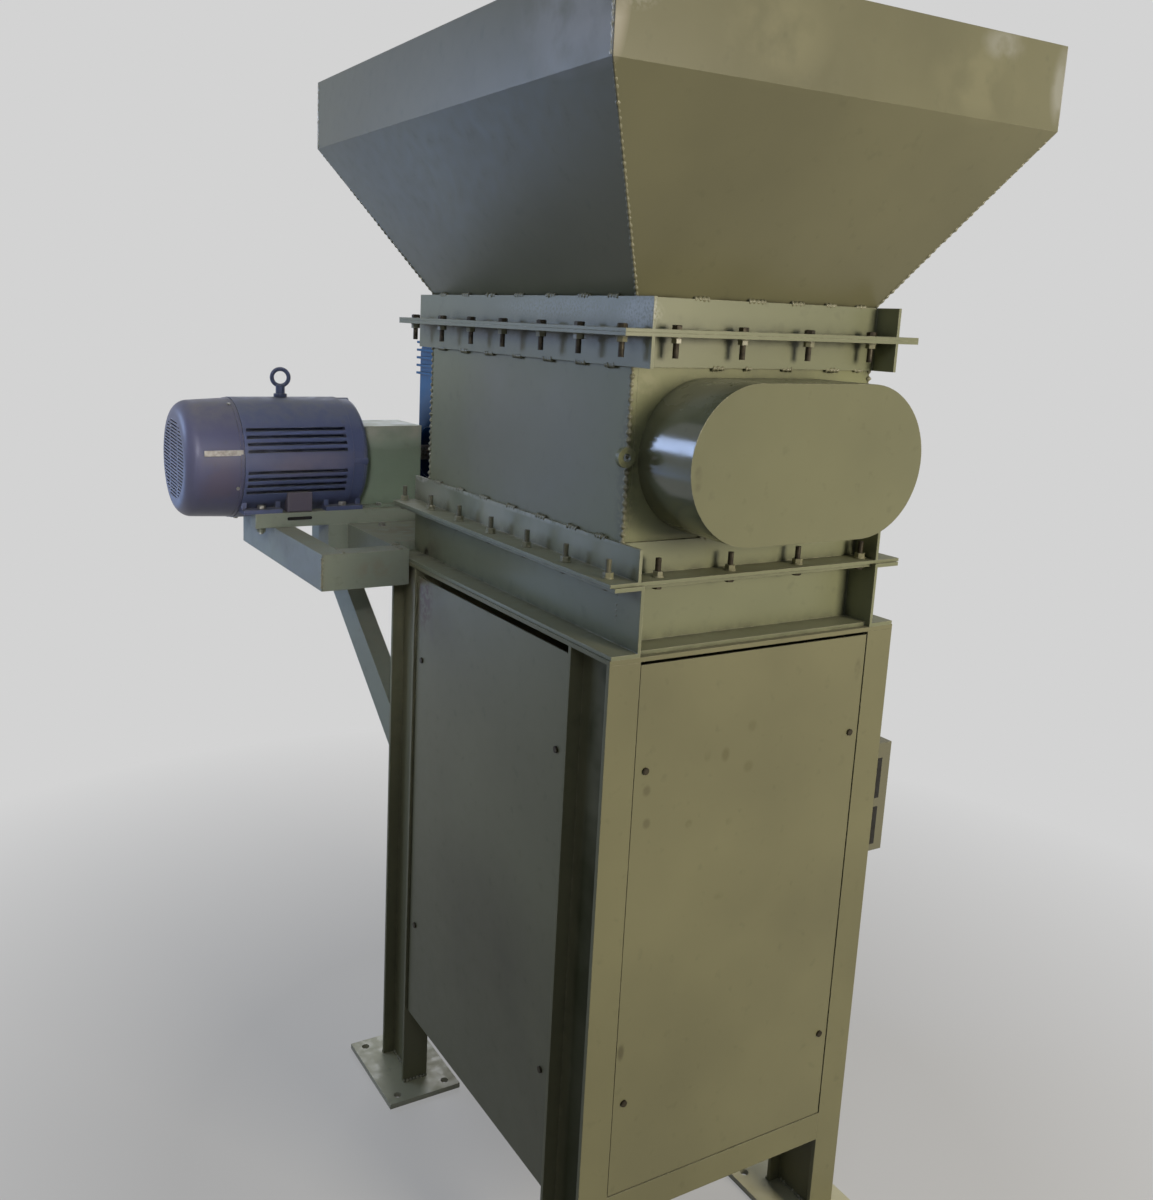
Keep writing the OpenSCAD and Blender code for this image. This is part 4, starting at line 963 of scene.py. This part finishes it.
fasten("gearbox_plugs", [(shaft_right, axis_y, gearbox_top)], (0, 0, 1), "paint_gearbox",
       across_head=22 * mm, head_height=9 * mm, shank=18 * mm, grip=4 * mm, washer=12 * mm,
       nut_height=2 * mm, tail=2 * mm)


# ---- Switch box ----
# A shallow steel box screwed to the right front leg, enamelled to match, with two upright
# openings in its front edge that show dark.

# The box was sprayed apart from the stand, so its coat is a shade greyer and rubbed at the edges.
box_paint = enamel("sage_enamel_on_box_sheet", "706e57", gloss=0.38, wear_and_edge_highlight=0.6, waves=0.3)
dress(box_paint, "switch_box")
switch_low, switch_high = (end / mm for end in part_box("switch_box"))
for number, (z0, z1) in enumerate(((834, 912), (930, 1012))):
    plate(f"switch_box_opening_{number + 1}", (switch_low.x + 1, switch_low.y - 0.6, z0),
          (switch_low.x + 12, switch_low.y + 2, z1), shade, edge=0.4)
fasten("switch_box_screws", [(switch_high.x, y, z) for y in (-425, -330) for z in (835, 1027)],
       (1, 0, 0), "paint_box", head_corners=16, across_head=8 * mm, head_height=2.2 * mm,
       shank=4 * mm, grip=2 * mm, washer=6 * mm, nut_height=1 * mm, tail=2 * mm)


# ---- Studio ----
# A pale floor that fades into a pale grey surround, and seven soft lamps: a large warm one before
# the machine, cool ones like windows at its left rear, weaker ones round it. None is part of it.

scene = bpy.context.scene
ground = bpy.data.meshes.new("studio_floor")
ground.from_pydata([(-9, -9, 0), (9, -9, 0), (9, 9, 0), (-9, 9, 0)], [], [(0, 1, 2, 3)])
floor = bpy.data.objects.new("studio_floor", ground)
floor.location.z = -0.3 * mm
scene.collection.objects.link(floor)
SURROUND = linear("d3d3d3")


def seen_ray(tree):
    """1 where the camera looks, straight, by a mirror or through glass, and 0 for other light."""
    path = add(tree, "ShaderNodeLightPath").outputs
    seen = add(tree, "ShaderNodeMath", {0: path["Is Camera Ray"], 1: path["Is Glossy Ray"]},
               operation="MAXIMUM")
    return add(tree, "ShaderNodeMath", {0: seen, 1: path["Is Transmission Ray"]},
               operation="MAXIMUM")


# A matt painted floor that keeps the shadow and fades into the surround. It throws little light
# back up, as a dark shop floor would.
pale = bpy.data.materials.new("pale_studio_floor")
pale.use_nodes = True
tree = pale.node_tree
tree.nodes.clear()
place = add(tree, "ShaderNodeTexCoord").outputs["Object"]
away = add(tree, "ShaderNodeVectorMath", {0: place}, operation="LENGTH")
fade = add(tree, "ShaderNodeMapRange", {0: away, 1: 0.9, 2: 2.6})
matt = add(tree, "ShaderNodeBsdfDiffuse", {"Color": linear("dcdad6")})
even = add(tree, "ShaderNodeEmission", {"Color": SURROUND, "Strength": 0.72})
lit = add(tree, "ShaderNodeMixShader", {0: 0.42, 1: even, 2: matt})
dim = add(tree, "ShaderNodeBsdfDiffuse", {"Color": linear("6a6868")})
glow = add(tree, "ShaderNodeEmission", {"Color": SURROUND, "Strength": 1.0})
mixed = add(tree, "ShaderNodeMixShader", {0: fade, 1: lit, 2: glow})
plain = add(tree, "ShaderNodeMixShader", {0: seen_ray(tree), 1: dim, 2: mixed})
add(tree, "ShaderNodeOutputMaterial", {"Surface": plain})
ground.materials.append(pale)

world = bpy.data.worlds.new("studio_surround")
scene.world = world
world.use_nodes = True
tree = world.node_tree
tree.nodes.clear()
soft = add(tree, "ShaderNodeBackground", {"Color": linear("bccbdd"), "Strength": 0.15})
shown = add(tree, "ShaderNodeBackground", {"Color": SURROUND, "Strength": 1.0})
mixed = add(tree, "ShaderNodeMixShader", {0: seen_ray(tree), 1: soft, 2: shown})
add(tree, "ShaderNodeOutputWorld", {"Surface": mixed})


def lamp(title, spot, target, wide, high, watts, code, spread=180):
    """A soft rectangular lamp at spot that shines on target, in metres; a grid on it narrows its
    spread, in degrees."""
    data = bpy.data.lights.new(title, "AREA")
    data.shape = "RECTANGLE"
    data.size, data.size_y = wide, high
    data.energy = watts
    data.color = linear(code)[:3]
    data.spread = math.radians(spread)
    made = bpy.data.objects.new(title, data)
    made.location = spot
    made.rotation_mode = "QUATERNION"
    made.rotation_quaternion = (Vector(target) - Vector(spot)).to_track_quat("-Z", "Y")
    scene.collection.objects.link(made)


lamp("front_lamp", (1.1, -4.1, 2.05), (0, 0, 1.1), 1.3, 1.3, 124, "fff4de")
lamp("window_lamp", (-3.1, 2.9, 2.45), (-0.2, 0, 1.85), 1.2, 1.0, 7.5, "b8d0ff", spread=70)
lamp("left_lamp", (-1.9, -2.4, 4.0), (-0.3, 0.3, 1.3), 1.5, 1.4, 13.2, "e6ecff")
lamp("motor_lamp", (-2.1, -2.3, 2.7), (-0.5, 0.85, 1.4), 0.7, 0.7, 1.2, "f4f2ff", spread=24)
lamp("low_lamp", (-2.0, 3.4, 0.7), (-0.4, 0, 1.9), 1.7, 0.9, 6.4, "76b0ff")
lamp("rear_lamp", (1.5, 3.8, 3.0), (0, 0, 1.3), 2.4, 1.8, 50, "f2f5ff")
lamp("right_lamp", (4.0, -0.6, 2.2), (0, 0, 1.2), 1.8, 1.8, 32, "fff8ee")

# The camera stands at a person's eye height before the left corner and looks slightly down.
camera_data = bpy.data.cameras.new("camera")
camera = bpy.data.objects.new("camera", camera_data)
scene.collection.objects.link(camera)
scene.camera = camera
camera_data.sensor_width = 36
camera_data.lens = 34.1
camera_data.shift_x = 0.0659
camera_data.shift_y = -0.0548
camera_data.clip_end = 60
eye = (-1.3406, -1.8936, 1.8213)
yaw, pitch, roll = (math.radians(a) for a in (28.95, -10.86, 2.20))
ahead = Vector((math.sin(yaw) * math.cos(pitch), math.cos(yaw) * math.cos(pitch),
                math.sin(pitch)))
level = Vector((math.cos(yaw), -math.sin(yaw), 0))
above = level.cross(ahead)
right = math.cos(roll) * level + math.sin(roll) * above
up = -math.sin(roll) * level + math.cos(roll) * above
turned_to = Matrix((right, up, -ahead)).transposed().to_4x4()
camera.matrix_world = Matrix.Translation(eye) @ turned_to

scene.view_settings.view_transform = "Standard"
